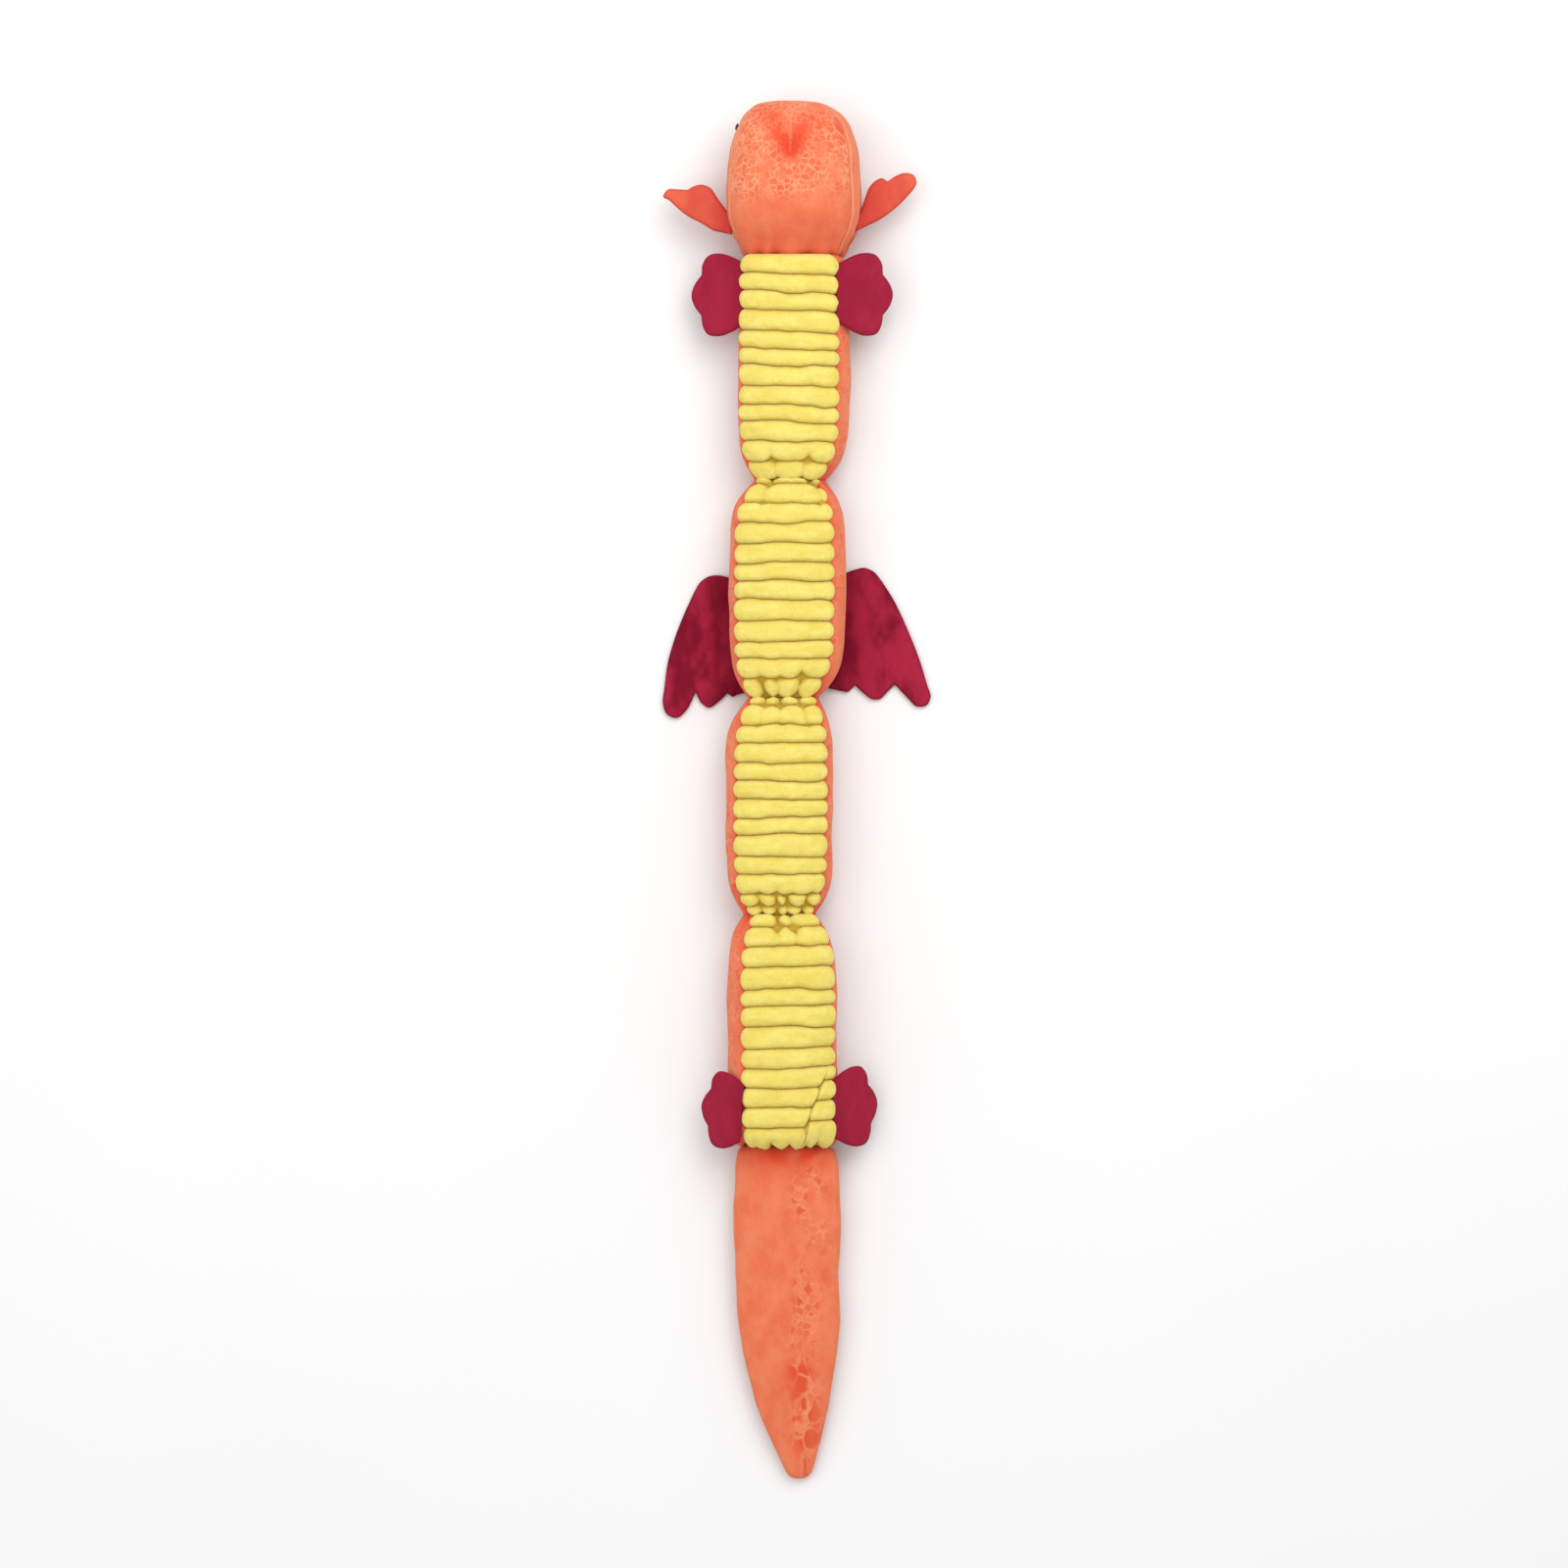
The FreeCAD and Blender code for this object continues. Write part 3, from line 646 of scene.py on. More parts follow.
def belly_heights(name, rows, number, part, columns, half_arc):
    """The height of the cloth over the panel, its painted shade, and how far its ribs sway."""
    made, seed = segments[name], segments[name]["seed"]
    front, rear = end_of(name, "front")[0].y, end_of(name, "rear")[0].y
    fade = np.clip(np.minimum(front - rows, rows - rear) / 0.02, 0, 1)
    sway = made["lean"] * columns * fade * 12 * MM
    sway = sway + hills(columns * 1.6 + 9, rows / 0.012, seed) * 1.5 * MM * fade
    sway = sway + hills(columns * 4.5, rows / 0.010, seed + 1) * 0.6 * MM * fade
    stop = 1 - (RIB_TIP + 0.9 * hills(number * 5.7, np.sign(columns) * 3.5, seed + 7)) * MM / half_arc
    end = np.maximum(np.abs(columns) - stop, 0) / (1 - stop)
    slant, slip = slanted_fold(name, rows, columns, half_arc)
    sway = sway + slip * np.clip(fade * 2, 0, 1)
    fold_in = np.maximum(gathers(name, rows, number, columns, half_arc), slant * 0.9)
    ridge = rib_shape(part, np.hypot(end, fold_in))
    height = (RIB_HEIGHT + 0.5 * hills(number * 2.9, columns * 1.4, seed + 9)) * MM * ridge
    height = height - 1.2 * MM * fold_in
    height = height + hills(columns * 9, rows / 0.007, seed + 2) * 0.5 * MM * ridge
    height = height + hills(columns * 42, rows / 0.0021, seed + 3) * 0.15 * MM
    under = np.clip((np.abs(columns) - stop) / (1 - stop), 0, 1)
    hem = np.clip((np.abs(columns) - 0.975) / 0.02, 0, 1)
    # the second value is the painted shade: 1 in the grooves and where the folds cut the ribs
    return height - TUCK * under - HEM * hem, (1 - ridge) ** 1.5, sway


print("ribs stand", RIB_HEIGHT, "mm high, with tips", RIB_TIP, "mm long")

# %% [markdown]
# A panel is laid on its segment: the girth gives each row, and the height raises it along its normals.
# At a waist two panels meet end to end, and normals there lean towards the joint, so low places would
# draw back from it and leave a hole. The back cloth therefore rises straight out there. Each panel is
# split in two along a groove in the middle of the segment, and the split can't be seen, because a groove
# is a crease anyway.

# %% Lay cloth on a segment
STRAIGHT_OUT = 7 * MM     # the length at a waist over which normals turn straight out
ON_THE_FLOOR = 0.15 * MM  # the lowest that cloth lies


def lay_grid(name, y, angles, height, sway=0.0, meeting=False):
    """The grid of a segment's panel: its girth at each row, raised along its normals by a height."""
    x, z, a, b = (v[:, None] for v in segment_girth(name, y))
    px, pz = girth(angles, x, z, a, b)
    grid = np.stack([px, y[:, None] + sway + 0 * px, pz], -1)
    middle = np.stack([x[:, 0], y, z[:, 0]], -1)[:, None]
    normal = outward(grid, middle)
    if meeting:  # at a waist the cloth rises straight out, so that its two sides leave no gap
        for which in ("front", "rear"):
            if segments[name][which].startswith("waist"):
                normal[..., 1] *= np.clip(np.abs(end_of(name, which)[0].y - y) / STRAIGHT_OUT, 0, 1)[:, None]
    grid = grid + normal * height[..., None]
    grid[..., 2] = np.maximum(grid[..., 2], ON_THE_FLOOR)
    return grid, middle


def halves(name, label, cut, grid, middle, values, cloth):
    """Two pieces of one panel, for its front and its rear end."""
    made = []
    for which, part in (("front", slice(0, cut + 1)), ("rear", slice(cut, None))):
        kept = {key: value[part] for key, value in values.items()}
        piece = panel(f"{name}_{label}_{which}", grid[part], middle[part], cloth, kept)
        made.append((which, piece))
    return made


print("a panel is laid in 2 halves")

# %% [markdown]
# ## The belly
# The belly panel spans a little more than a quarter of the girth to each side of its middle line. Its
# columns are spread evenly along the cloth, so a rib's tip has the same length on both sides.

# %% Build the belly of a segment
COLUMNS = 140
# degrees of the girth from the middle of the belly to its edge
HALF_BELLY = {"segment_1": 58.5, "segment_2": 55.0, "segment_3": 56.0, "segment_4": 56.0}


def belly(name):
    """Both halves of the ribbed panel."""
    y, number, part = rib_rows(name)
    turn = 90 + segments[name]["turn"]
    _, _, a, b = segment_girth(name, y)
    full = a.argmax()
    half = HALF_BELLY[name]
    angles = even_angles(turn - half, turn + half, COLUMNS, a[full], b[full])
    x, z = girth(angles, 0, 0, a[full], b[full])
    half_arc = (np.hypot(np.diff(x), np.diff(z)).sum() / 2 * a / a[full])[:, None]
    rows, columns = np.meshgrid(y, np.linspace(-1, 1, COLUMNS), indexing="ij")
    number_there = number[:, None] + 0 * rows
    height, depth, sway = belly_heights(name, rows, number_there, part[:, None], columns, half_arc)
    grid, middle = lay_grid(name, y, angles[None], height, sway)
    cut = ROWS_OF_A_RIB * ((number[-1] + 1) // 2)
    return halves(name, "belly", cut, grid, middle, {"depth": depth}, "belly")


print("belly grids:", {name: (len(rib_rows(name)[0]), COLUMNS) for name in segments})

# %% [markdown]
# ## The back
# The back panel wraps from seam to seam under the segment. It dips at the seams, where the stitches pull
# it in, puckers at the waists, and lies flat where it carries the toy. Soft hills are the stuffing.

# %% Build the back of a segment
BACK_COLUMNS = 150
STEP = 0.9 * MM  # the usual distance between rows of a smooth cloth
OVERLAP = 9.0    # degrees by which the back reaches under the belly's edge
GATHERS = ("neck", "waist_1", "waist_2", "waist_3", "tail_seam")


def back(name):
    """Both halves of the back panel."""
    made, seed = segments[name], segments[name]["seed"] + 100
    front, rear = end_of(name, "front")[0].y, end_of(name, "rear")[0].y
    y = np.linspace(front, rear, int((front - rear) / STEP))
    if made["rear"] == "tail_seam":
        corner = rear + ROUNDED * (1 - np.cos(np.linspace(math.pi / 2, 0, 26)))
        y = np.concatenate([y[y > corner[0] + 0.4 * MM], corner])
    turn = 90 + made["turn"]
    _, _, a, b = segment_girth(name, np.array([y.mean()]))
    edge = HALF_BELLY[name] - OVERLAP
    even = even_angles(turn + edge, turn + 360 - edge, BACK_COLUMNS, a[0], b[0])
    rows, angles = np.meshgrid(y, even, indexing="ij")
    u = np.linspace(-1, 1, BACK_COLUMNS)[None]
    height = hills(angles / 26, rows / 0.03, seed) * 1.0 * MM
    height = height + hills(angles / 11, rows / 0.013, seed + 1) * 0.35 * MM
    height = height - 2.0 * MM * bell(1 - np.abs(u), 0.02)
    # painted shade along both seams, where the back tucks under the belly's edge
    depth = 0 * rows + 0.7 * bell(1 - np.abs(u), 0.05)
    for which in ("front", "rear"):
        at, _, length = end_of(name, which)
        near = pinch(np.abs(at.y - rows), length * 0.9)
        if made[which] == "neck":
            near = near * 0.3
        else:
            height = height * (1 - near)
        gather = GATHERS.index(made[which])  # both sides of a waist have the same folds, so they meet
        folds = np.cos(np.radians(angles) * 11 + 3 * hills(angles / 30, rows / 0.02, gather + 300))
        height = height + near * (1.5 * MM * folds - 0.6 * MM)
        # painted shade in the gathers, deepest in the valleys of the folds
        depth = depth + near * (0.75 - 0.35 * folds)
    printed = 0.25 + 0.5 * hills(angles / 20, rows / 0.02, seed + 4)
    grid, middle = lay_grid(name, y, angles, height, meeting=True)
    return halves(name, "back", len(y) // 2, grid, middle, {"depth": depth, "print": printed}, "back")


print("back grids are", BACK_COLUMNS, "columns wide, with rows", round(STEP / MM, 1), "mm apart")

# %% [markdown]
# ## Placing the halves
# The cloth of a segment is sewn to its waist, so it must neither tear off nor stay stiff when the waist
# turns. Here each half only has its place baked into its mesh, and the frame's panel and gathers are hidden.

# %% Bake each half in place
BEND_FROM = {"neck": 13 * MM, "tail_seam": 14 * MM}
BEND_FROM_WAIST = 18 * MM


def bend(name, which, piece):
    """Bakes the half's place into its mesh."""
    joint = segments[name][which]
    at = end_of(name, which)[0]
    away = BEND_FROM.get(joint, BEND_FROM_WAIST) * (-1 if which == "front" else 1)
    at.y + away
    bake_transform(piece)


for name in segments:
    for label, build, slot in (("belly", belly, "belly_cord_plush"), ("back", back, "scale_plush")):
        for which, piece in build(name):
            joint = segments[name][which]
            bend(name, which, piece)
            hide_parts(f"{name}_{label}_panel", f"{joint}_gathers")

# %% [markdown]
# Wadding fills each segment up to a little below the cloth. It is rounded off well before the waists, so
# it stays inside the cloth when a waist bends.

# %% Fill the segments
SET_BACK = 17 * MM  # from a joint to the end of the wadding
ROUND_END = 20 * MM


def segment_wadding(name):
    """A closed sausage inside the cloth of a segment."""
    front, rear = end_of(name, "front")[0].y, end_of(name, "rear")[0].y
    high, low = front - SET_BACK, rear + SET_BACK
    y = low + (high - low) * (1 - np.cos(np.linspace(0, math.pi, 90))) / 2
    x, z, a, b = (v[:, None] for v in segment_girth(name, y))
    to_end = np.clip(1 - np.minimum(y - low, high - y) / ROUND_END, 0, 1)
    closing = np.sqrt(np.clip(1 - to_end**2, 0, 1))[:, None]
    angles = np.linspace(0, 360, 97)[None]
    mirrored = np.minimum(angles, 360 - angles)
    uneven = 0.5 * MM * hills(mirrored / 12, y[:, None] / 0.01, segments[name]["seed"] + 200)
    half, thick = (a - 6 * MM) * closing + uneven * closing, (b - 5 * MM) * closing + uneven * closing
    px, pz = girth(angles, x, z, half, thick)
    grid = np.stack([px, y[:, None] + 0 * px, pz], -1)
    middle = np.stack([x[:, 0], y, z[:, 0]], -1)[:, None]
    piece = panel(name + "_wadding", grid, middle, "filling", {}, thick=0, weld=True)
    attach(piece, name)
    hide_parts(name + "_filling")


for name in segments:
    segment_wadding(name)
print("wadding in", len(segments), "segments")

# %% [markdown]
# ## The head
# The head is a stuffed pouch of four panels: chin, crown and two sides. It lies on its crown, so the chin
# faces up. Its girths follow a smooth line from the neck to the snout, where they close in a point.
# Seams pull the cloth in, and a dart sewn from the snout to a dimple shapes the chin into two soft cheeks.

# %% The girths of the head
HEAD_LINE = [  # along the toy, half width, half thickness, height of the middle
    (387.3, 34.0, 22.8, 25.8), (389.5, 36.6, 25.0, 26.6), (396.5, 40.0, 27.6, 29.3), (403, 43.8, 30.6, 31.8),
    (413, 47.3, 34.5, 35.0), (430, 48.6, 37.0, 37.4), (450, 47.4, 37.5, 37.8), (468, 45.0, 36.0, 37.3),
    (481, 41.2, 32.5, 36.8), (490.5, 35.2, 27.0, 36.3), (497, 26.5, 19.5, 35.9), (499.6, 15.0, 11.0, 35.6),
    (500, 0.0, 0.0, 35.5),
]
HEAD_SEAMS = (33, 160, 222, 318)  # degrees round the girth: chin right and left, crown left and right
CHIN_SEAM = HEAD_SEAMS[0]
HEAD_PANELS = {
    "chin_panel": (CHIN_SEAM, 160), "side_panel_left": (160, 222),
    "crown_panel": (222, 318), "side_panel_right": (318, 360 + CHIN_SEAM),
}
HEAD_X = joint_at["neck_yaw"].x - 0.2 * MM
print("head:", len(HEAD_LINE), "sizes along", round(HEAD_LINE[-1][0] - HEAD_LINE[0][0]), "mm")

# %% [markdown]
# The chin is what one sees of the head. Thread is pulled through it at one point, which makes a dimple,
# and a short dart runs from there to the snout. The cloth sinks along two creases that spread from the
# dimple like a heart. Each is a line, and the height falls off beside it like a bell, much as a smooth
# brush in sculpt mode would press it in. The same lines say where shade is painted and where the seams are
# pale.

# %% The shape of the chin
DIMPLE = (-4.6, 462.5)
NECK_END = 0.3885   # y of the head's edge at the neck, in metres
SNOUT_END = 0.4995  # y from which the snout's point stays smooth


def near_line(x, y, start, end, width):
    """1 on a line between two points and less beside it, and how far along it each point is."""
    (ax, ay), (bx, by) = np.array(start) * MM, np.array(end) * MM
    long = (bx - ax) ** 2 + (by - ay) ** 2
    t = np.clip(((x - ax) * (bx - ax) + (y - ay) * (by - ay)) / long, 0, 1)
    return bell(np.hypot(x - ax - t * (bx - ax), y - ay - t * (by - ay)), width * MM), t


def head_heights(rows, angles, x):
    """How far the head's cloth stands out, its painted shade and how strong its print is."""
    height = hills(angles / 24, rows / 0.022, 71) * 0.9 * MM + hills(angles / 9, rows / 0.010, 72) * 0.3 * MM
    depth, pale = 0 * rows, 0 * rows
    for angle in HEAD_SEAMS:
        turn = (angles - angle + 180) % 360 - 180
        seam = bell(turn * 0.75 * MM, 1.5 * MM)
        height = height - 1.3 * MM * seam
        if angle < 200:  # the seams of the chin have a pale edge on the chin's side
            pale = pale + bell((turn + (2 if angle == CHIN_SEAM else -2)) * 0.75 * MM, 1.0 * MM) * 0.8
    up = (angles > CHIN_SEAM) & (angles < 160)
    left, along = near_line(x, rows, DIMPLE, (-21, 490), 8.4)
    right, along_right = near_line(x, rows, DIMPLE, (13, 490), 8.4)
    dart, _ = near_line(x, rows, (-3.0, 501), DIMPLE, 1.1)
    pit, _ = near_line(x, rows, DIMPLE, (-4.6, 466), 8.0)
    creases = 2.6 * MM * left * (1 - 0.75 * along) + 2.6 * MM * right * (1 - 0.75 * along_right)
    height = height - up * creases
    height = height - up * (1.3 * MM * dart + 2.6 * MM * pit)
    lobes = np.maximum(left * (1 - 0.45 * along), right * (1 - 0.45 * along_right))
    # painted shade in the creases of the heart and in the dimple, less on the dart
    depth = depth + up * (0.95 * lobes + 0.25 * pit) * (1 - 0.5 * dart)
    pale = pale + up * 0.35 * dart
    near_neck = np.exp(-np.maximum(rows - NECK_END, 0) / 0.010)
    folds = np.cos(np.radians(angles) * 12 + 3 * hills(angles / 25, rows / 0.02, 73))
    height = height + near_neck * (0.8 * MM * folds - 0.3 * MM)
    # painted shade in the neck gathers, deepest between the folds, and a little more towards the neck
    depth = depth + near_neck * (0.45 - 0.2 * folds) + 0.12 * np.clip((0.43 - rows) / 0.03, 0, 1)
    band = np.clip((rows - 0.415) / 0.025, 0, 1) * np.where(up, 1.0, 0.45)
    printed = band * (0.75 + 0.45 * hills(angles / 14, rows / 0.014, 74))
    large, _ = near_line(x, rows, (30, 478), (36, 468), 6.0)
    tip = np.clip((SNOUT_END - rows) / 0.004, 0, 1)
    return height * tip, {"depth": depth, "print": printed, "pale": pale, "large": large * up * 0.8}


dimple_height = head_heights(np.array([DIMPLE[1] * MM]), np.array([97.0]), np.array([DIMPLE[0] * MM]))[0]
print("the dimple is", -round(float(dimple_height[0]) / MM, 1), "mm deep")

# %% [markdown]
# Each panel of the head is the part of the girth between two seams, raised by those heights. The points
# of the snout's last row fall together, so they are welded.

# %% Build the panels of the head
LIFTED = 0.3 * MM  # the lowest that the head, the tail and the flaps lie


def head_middle(rows):
    """The head points a little to one side at the snout."""
    return HEAD_X - 3.2 * MM * np.clip((rows - 0.480) / 0.018, 0, 1) ** 2


def head_pieces():
    """The four panels."""
    line = smooth_line(HEAD_LINE, STEP)
    rows = line[:, 0]
    centre = head_middle(rows)
    middle = np.stack([centre, rows, line[:, 3]], -1)[:, None]
    for label, (first, last) in HEAD_PANELS.items():
        count = int((last - first) * 0.9)
        angles = even_angles(first, last, count, 0.048, 0.037)[None] + 0 * rows[:, None]
        x, z = girth(angles, centre[:, None], line[:, 3:4], line[:, 1:2], line[:, 2:3])
        grid = np.stack([x, rows[:, None] + 0 * x, z], -1)
        height, values = head_heights(grid[..., 1], angles % 360, x)
        grid = grid + outward(grid, middle) * height[..., None]
        grid[..., 2] = np.maximum(grid[..., 2], LIFTED)
        piece = panel("head_" + label, grid, middle, "head", values, weld=True)
        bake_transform(piece)
        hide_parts("head_" + label, "neck_gathers", "head_snout_panel")


head_pieces()
print("head:", len(HEAD_PANELS), "panels")

# %% [markdown]
# Wadding fills the head 5 mm below the cloth and is pressed in under the dimple, so it has the cloth's
# hollows. Its line is the head's own, made narrower, with ends that close in points.

# %% Fill the head
def head_wadding():
    """A closed shape inside the panels of the head."""
    keys = [(398.5, 0, 0, 30.5), (399, 20, 14, 30.5), (401, 33, 22, 31)]
    keys += [(y, a - 5, b - 5, z) for y, a, b, z in HEAD_LINE[4:-3]] + [(495, 14, 10, 36), (495.5, 0, 0, 36)]
    line = smooth_line(keys, 2.4 * MM)
    rows = line[:, 0]
    angles = np.linspace(0, 360, 121)[None] + 0 * rows[:, None]
    x, z = girth(angles, HEAD_X, line[:, 3:4], line[:, 1:2], line[:, 2:3])
    grid = np.stack([x, rows[:, None] + 0 * x, z], -1)
    middle = np.stack([0 * rows + HEAD_X, rows, line[:, 3]], -1)[:, None]
    height = np.minimum(head_heights(grid[..., 1], angles, x)[0], 0)
    height = height + hills(angles / 12, grid[..., 1] / 0.01, 75) * 0.5 * MM
    height[:, -1] = height[:, 0]
    ends = np.clip(np.minimum(rows - 0.3985, 0.4955 - rows) / 0.004, 0, 1)[:, None]
    grid = grid + outward(grid, middle) * (height * ends)[..., None]
    piece = panel("head_wadding", grid, middle, "filling", {}, thick=0, weld=True)
    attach(piece, "head")
    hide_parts("head_filling")
    return piece


print("head wadding:", len(head_wadding().data.vertices), "points")

# %% [markdown]
# The eyes are small ovals of black satin stitch, one on each side panel just behind the snout. A sphere is
# added with the operator, then flattened, turned to look out of the cloth and moved there, all in its
# mesh, so that the object itself stays at the origin.

# %% Sew the eyes
EYE_AT = 0.4815                    # along the toy, in metres
EYE_ANGLE = {"left": 176, "right": -14}
EYE_SIZE = (2.6 * MM, 3.4 * MM, 1.2 * MM)
LOOKS_AHEAD = 6.0                  # how much an eye is turned towards the snout


def eye(word, side):
    """A domed oval of satin stitch, laid on the girth of the head."""
    line = smooth_line(HEAD_LINE, STEP)
    row = line[np.argmin(np.abs(line[:, 0] - EYE_AT))]
    x, z = girth(EYE_ANGLE[word], 0, 0, row[1], row[2])
    n = FULLNESS - 1
    across, up = abs(x / row[1]) ** n / row[1], abs(z / row[2]) ** n / row[2]
    out = Vector((side * across, LOOKS_AHEAD, np.sign(z) * up))
    out.normalize()
    bpy.ops.mesh.primitive_uv_sphere_add(segments=40, ring_count=20, radius=1.0)
    piece = bpy.context.object
    piece.name = f"eye_{word}_stitches"
    turn = out.to_track_quat("Z", "Y").to_matrix().to_4x4()
    size = Matrix.Diagonal((*EYE_SIZE, 1))
    piece.data.transform(Matrix.Translation((HEAD_X + x, row[0], row[3] + z)) @ turn @ size)
    piece.data.materials.append(cloths["eye"])
    piece.data.shade_smooth()
    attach(piece, "head")
    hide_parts("eye_" + word)
    print(piece.name, "at", [round(v / MM) for v in (HEAD_X + x, row[0], row[3] + z)], "mm")


eye("left", -1)
eye("right", 1)

# %% [markdown]
# ## The tail
# The tail is a long flat bag, two layers sewn together along the sides and stuffed lightly. It leaves the
# ruffled edge of the last segment at nearly full width and tapers to a blunt tip, which leans a little.
# It could be drawn as an outline like the flaps below, but it is as thick as a bolster, so it gets girths
# like the head. Its first rows close in under the ruffle, where the cloth puckers into the seam.

# %% Build the tail
TAIL_LINE = [  # along the toy, half width, half thickness, middle
    (-249, 13.0, 4.0, -8.0), (-252.5, 24.0, 9.5, -8.0), (-256, 32.0, 14.0, -8.0), (-259.5, 36.0, 14.8, -7.6),
    (-266, 37.7, 14.6, -7.2), (-290, 38.9, 15.0, -6.9), (-350, 38.4, 14.0, -5.9), (-384, 37.4, 13.2, -5.2),
    (-412, 34.0, 12.2, -4.4), (-437, 28.6, 10.8, -3.2),
    (-458, 22.6, 9.2, -1.6), (-478, 16.2, 7.5, 0.2), (-490, 11.8, 6.4, 1.2), (-497, 8.2, 5.2, 1.7),
    (-499.6, 4.5, 3.5, 1.8), (-500, 0.0, 0.0, 1.8),
]
TAIL_FULLNESS = 2.2
TAIL_COLUMNS = 110


def tail_pieces():
    """The two layers."""
    line = smooth_line(TAIL_LINE, 1.1 * MM)
    rows = line[:, 0]
    centre, rise = line[:, 3] - 0.078 * MM, line[:, 2] + LIFTED
    for label, first, last in (("upper", 0, 180), ("lower", 180, 360)):
        angles = even_angles(first, last, TAIL_COLUMNS, 0.038, 0.014)[None] + 0 * rows[:, None]
        x, z = girth(angles, centre[:, None], rise[:, None], line[:, 1:2], line[:, 2:3], TAIL_FULLNESS)
        across = (x - centre[:, None]) / np.maximum(line[:, 1:2], 1 * MM)
        y = rows[:, None] + 0 * x
        seam = 1 - np.abs(across)
        height = hills(across * 2.2, y / 0.035, 81) * 1.1 * MM + hills(across * 5, y / 0.012, 82) * 0.3 * MM
        height = height - 0.8 * MM * bell(seam, 0.02) + 0.35 * MM * bell(seam - 0.10, 0.03)
        near_seam = np.exp(-((np.maximum(-0.256 - y, 0) / 0.015) ** 2.0))
        folds = np.cos(across * 9 + 3 * hills(across * 3, y / 0.015, 83))
        height = height + near_seam * 1.4 * MM * folds
        # painted shade in the puckers under the ruffle, deepest between the folds
        depth = near_seam * (0.95 - 0.4 * folds) * (1 - across**6)
        crease, _ = near_line(x, y, (6.5, -486), (7.5, -502), 0.9)
        if label == "upper":
            height = height - 1.2 * MM * crease
            # painted shade in the crease near the tip
            depth = depth + 0.6 * crease
        printed = bell(across - 0.36 - 0.12 * hills(y / 0.03, 0, 84), 0.38)
        printed = printed * np.clip((-0.262 - y) / 0.02, 0, 1) * (0.70 + 0.6 * hills(across * 4, y / 0.02, 85))
        large, _ = near_line(x, y, (3, -422), (8, -472), 9.5)
        large = large * (1.15 + 0.4 * hills(across * 5, y / 0.012, 86)) if label == "upper" else 0 * y
        # painted highlight: a pale line along both side seams
        pale = 0.35 * bell(seam, 0.03)
        tip = np.clip((y + 0.4995) / 0.004, 0, 1)
        grid = np.stack([x, y, z], -1)
        middle = np.stack([centre, rows, rise], -1)[:, None]
        grid = grid + outward(grid, middle) * (height * tip)[..., None]
        grid[..., 2] = np.maximum(grid[..., 2], LIFTED)
        values = {"depth": depth, "print": printed, "pale": pale, "large": large}
        piece = panel("tail_" + label + "_skin", grid, middle, "tail", values, thick=1.4 * MM, weld=True)
        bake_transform(piece)
        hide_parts(f"tail_{label}_panel", "tail_seam_gathers")


tail_pieces()
print("tail: 2 panels")

# %% [markdown]
# ## Paws, ears and wings
# These are flaps: two layers cut to one outline, sewn face to face and turned. The outline is a closed
# run of smooth curves that meet in the corners between the toes or the points of a wing. All sizes are in
# millimetres, outwards from the root and along the toy.

# %% The outlines
PAW = [
    [(0, 23.5), (8, 27.5), (17, 30), (26.5, 28.8), (31.5, 22.5), (32, 15)],
    [(32, 15), (37.5, 8), (40, 0.5), (37.5, -7.5), (32, -14.5)],
    [(32, -14.5), (31, -21.5), (27, -28), (18, -30), (8, -27.5), (0, -23.5)],
]
EAR_LEFT = [
    [(0, 15), (4.5, 21), (10, 28.5), (16.5, 30.8), (24, 29), (27, 27.2)],
    [(27, 27.2), (35, 28), (41.5, 28), (45.2, 22.6), (41, 20.2)],
    [(41, 20.2), (28, 9), (15.5, 2.2), (7.5, -2.6), (0, -4.6)],
]
EAR_RIGHT = [
    [(0, 19), (3.5, 28), (8.5, 33.4), (13.5, 35.4), (17.5, 33.2)],
    [(17.5, 33.2), (24, 37.4), (31, 39.8), (37.5, 38), (39.4, 32.6), (36.5, 27)],
    [(36.5, 27), (26.5, 16.5), (13, 6), (0, -0.6)],
]
WING_RIGHT = [
    [(0, 158.5), (4.6, 160.5), (11.1, 162.8), (18.6, 164), (25.1, 161), (30.6, 154.5)],
    [(30.6, 154.5), (38.6, 142), (49.6, 119), (58.1, 97.5), (64.1, 78)],
    [(64.1, 78), (66.4, 70), (63.6, 64), (56.6, 62.8), (49.6, 69), (40.1, 79)],
    [(40.1, 79), (34.6, 73.4), (29.1, 68.2), (23.1, 68.4), (17.6, 72.4), (11.1, 78.4)],
    [(11.1, 78.4), (5.6, 73.6), (0, 74.5)],
]
WING_LEFT = [
    [(0, 155), (5.2, 156.8), (11.2, 158.4), (19.7, 158), (26.2, 154), (31.2, 146)],
    [(31.2, 146), (38.2, 130.5), (45.2, 112.5), (50.2, 95), (52.8, 76)],
    [(52.8, 76), (53.8, 65), (50.7, 57), (43.2, 54.6), (37.2, 59.5), (29.8, 73.6)],
    [(29.8, 73.6), (25.7, 65.4), (20.2, 62), (13.7, 66), (6.7, 72.6)],
    [(6.7, 72.6), (2.5, 70), (0, 71.5)],
]
print("outlines:", [len(runs) for runs in (PAW, EAR_LEFT, EAR_RIGHT, WING_RIGHT, WING_LEFT)], "curves each")

# %% [markdown]
# The mesh inside an outline is a grid of triangles, because a grid of squares can't follow the points
# between the toes. Points are laid evenly inside, and a Delaunay triangulation joins them to the rim. A
# tab past the root reaches into the body's side seam, as on the real thing, so no gap shows there.

# %% Fill an outline
RIM_STEP, FLAP_STEP = 0.9 * MM, 1.3 * MM


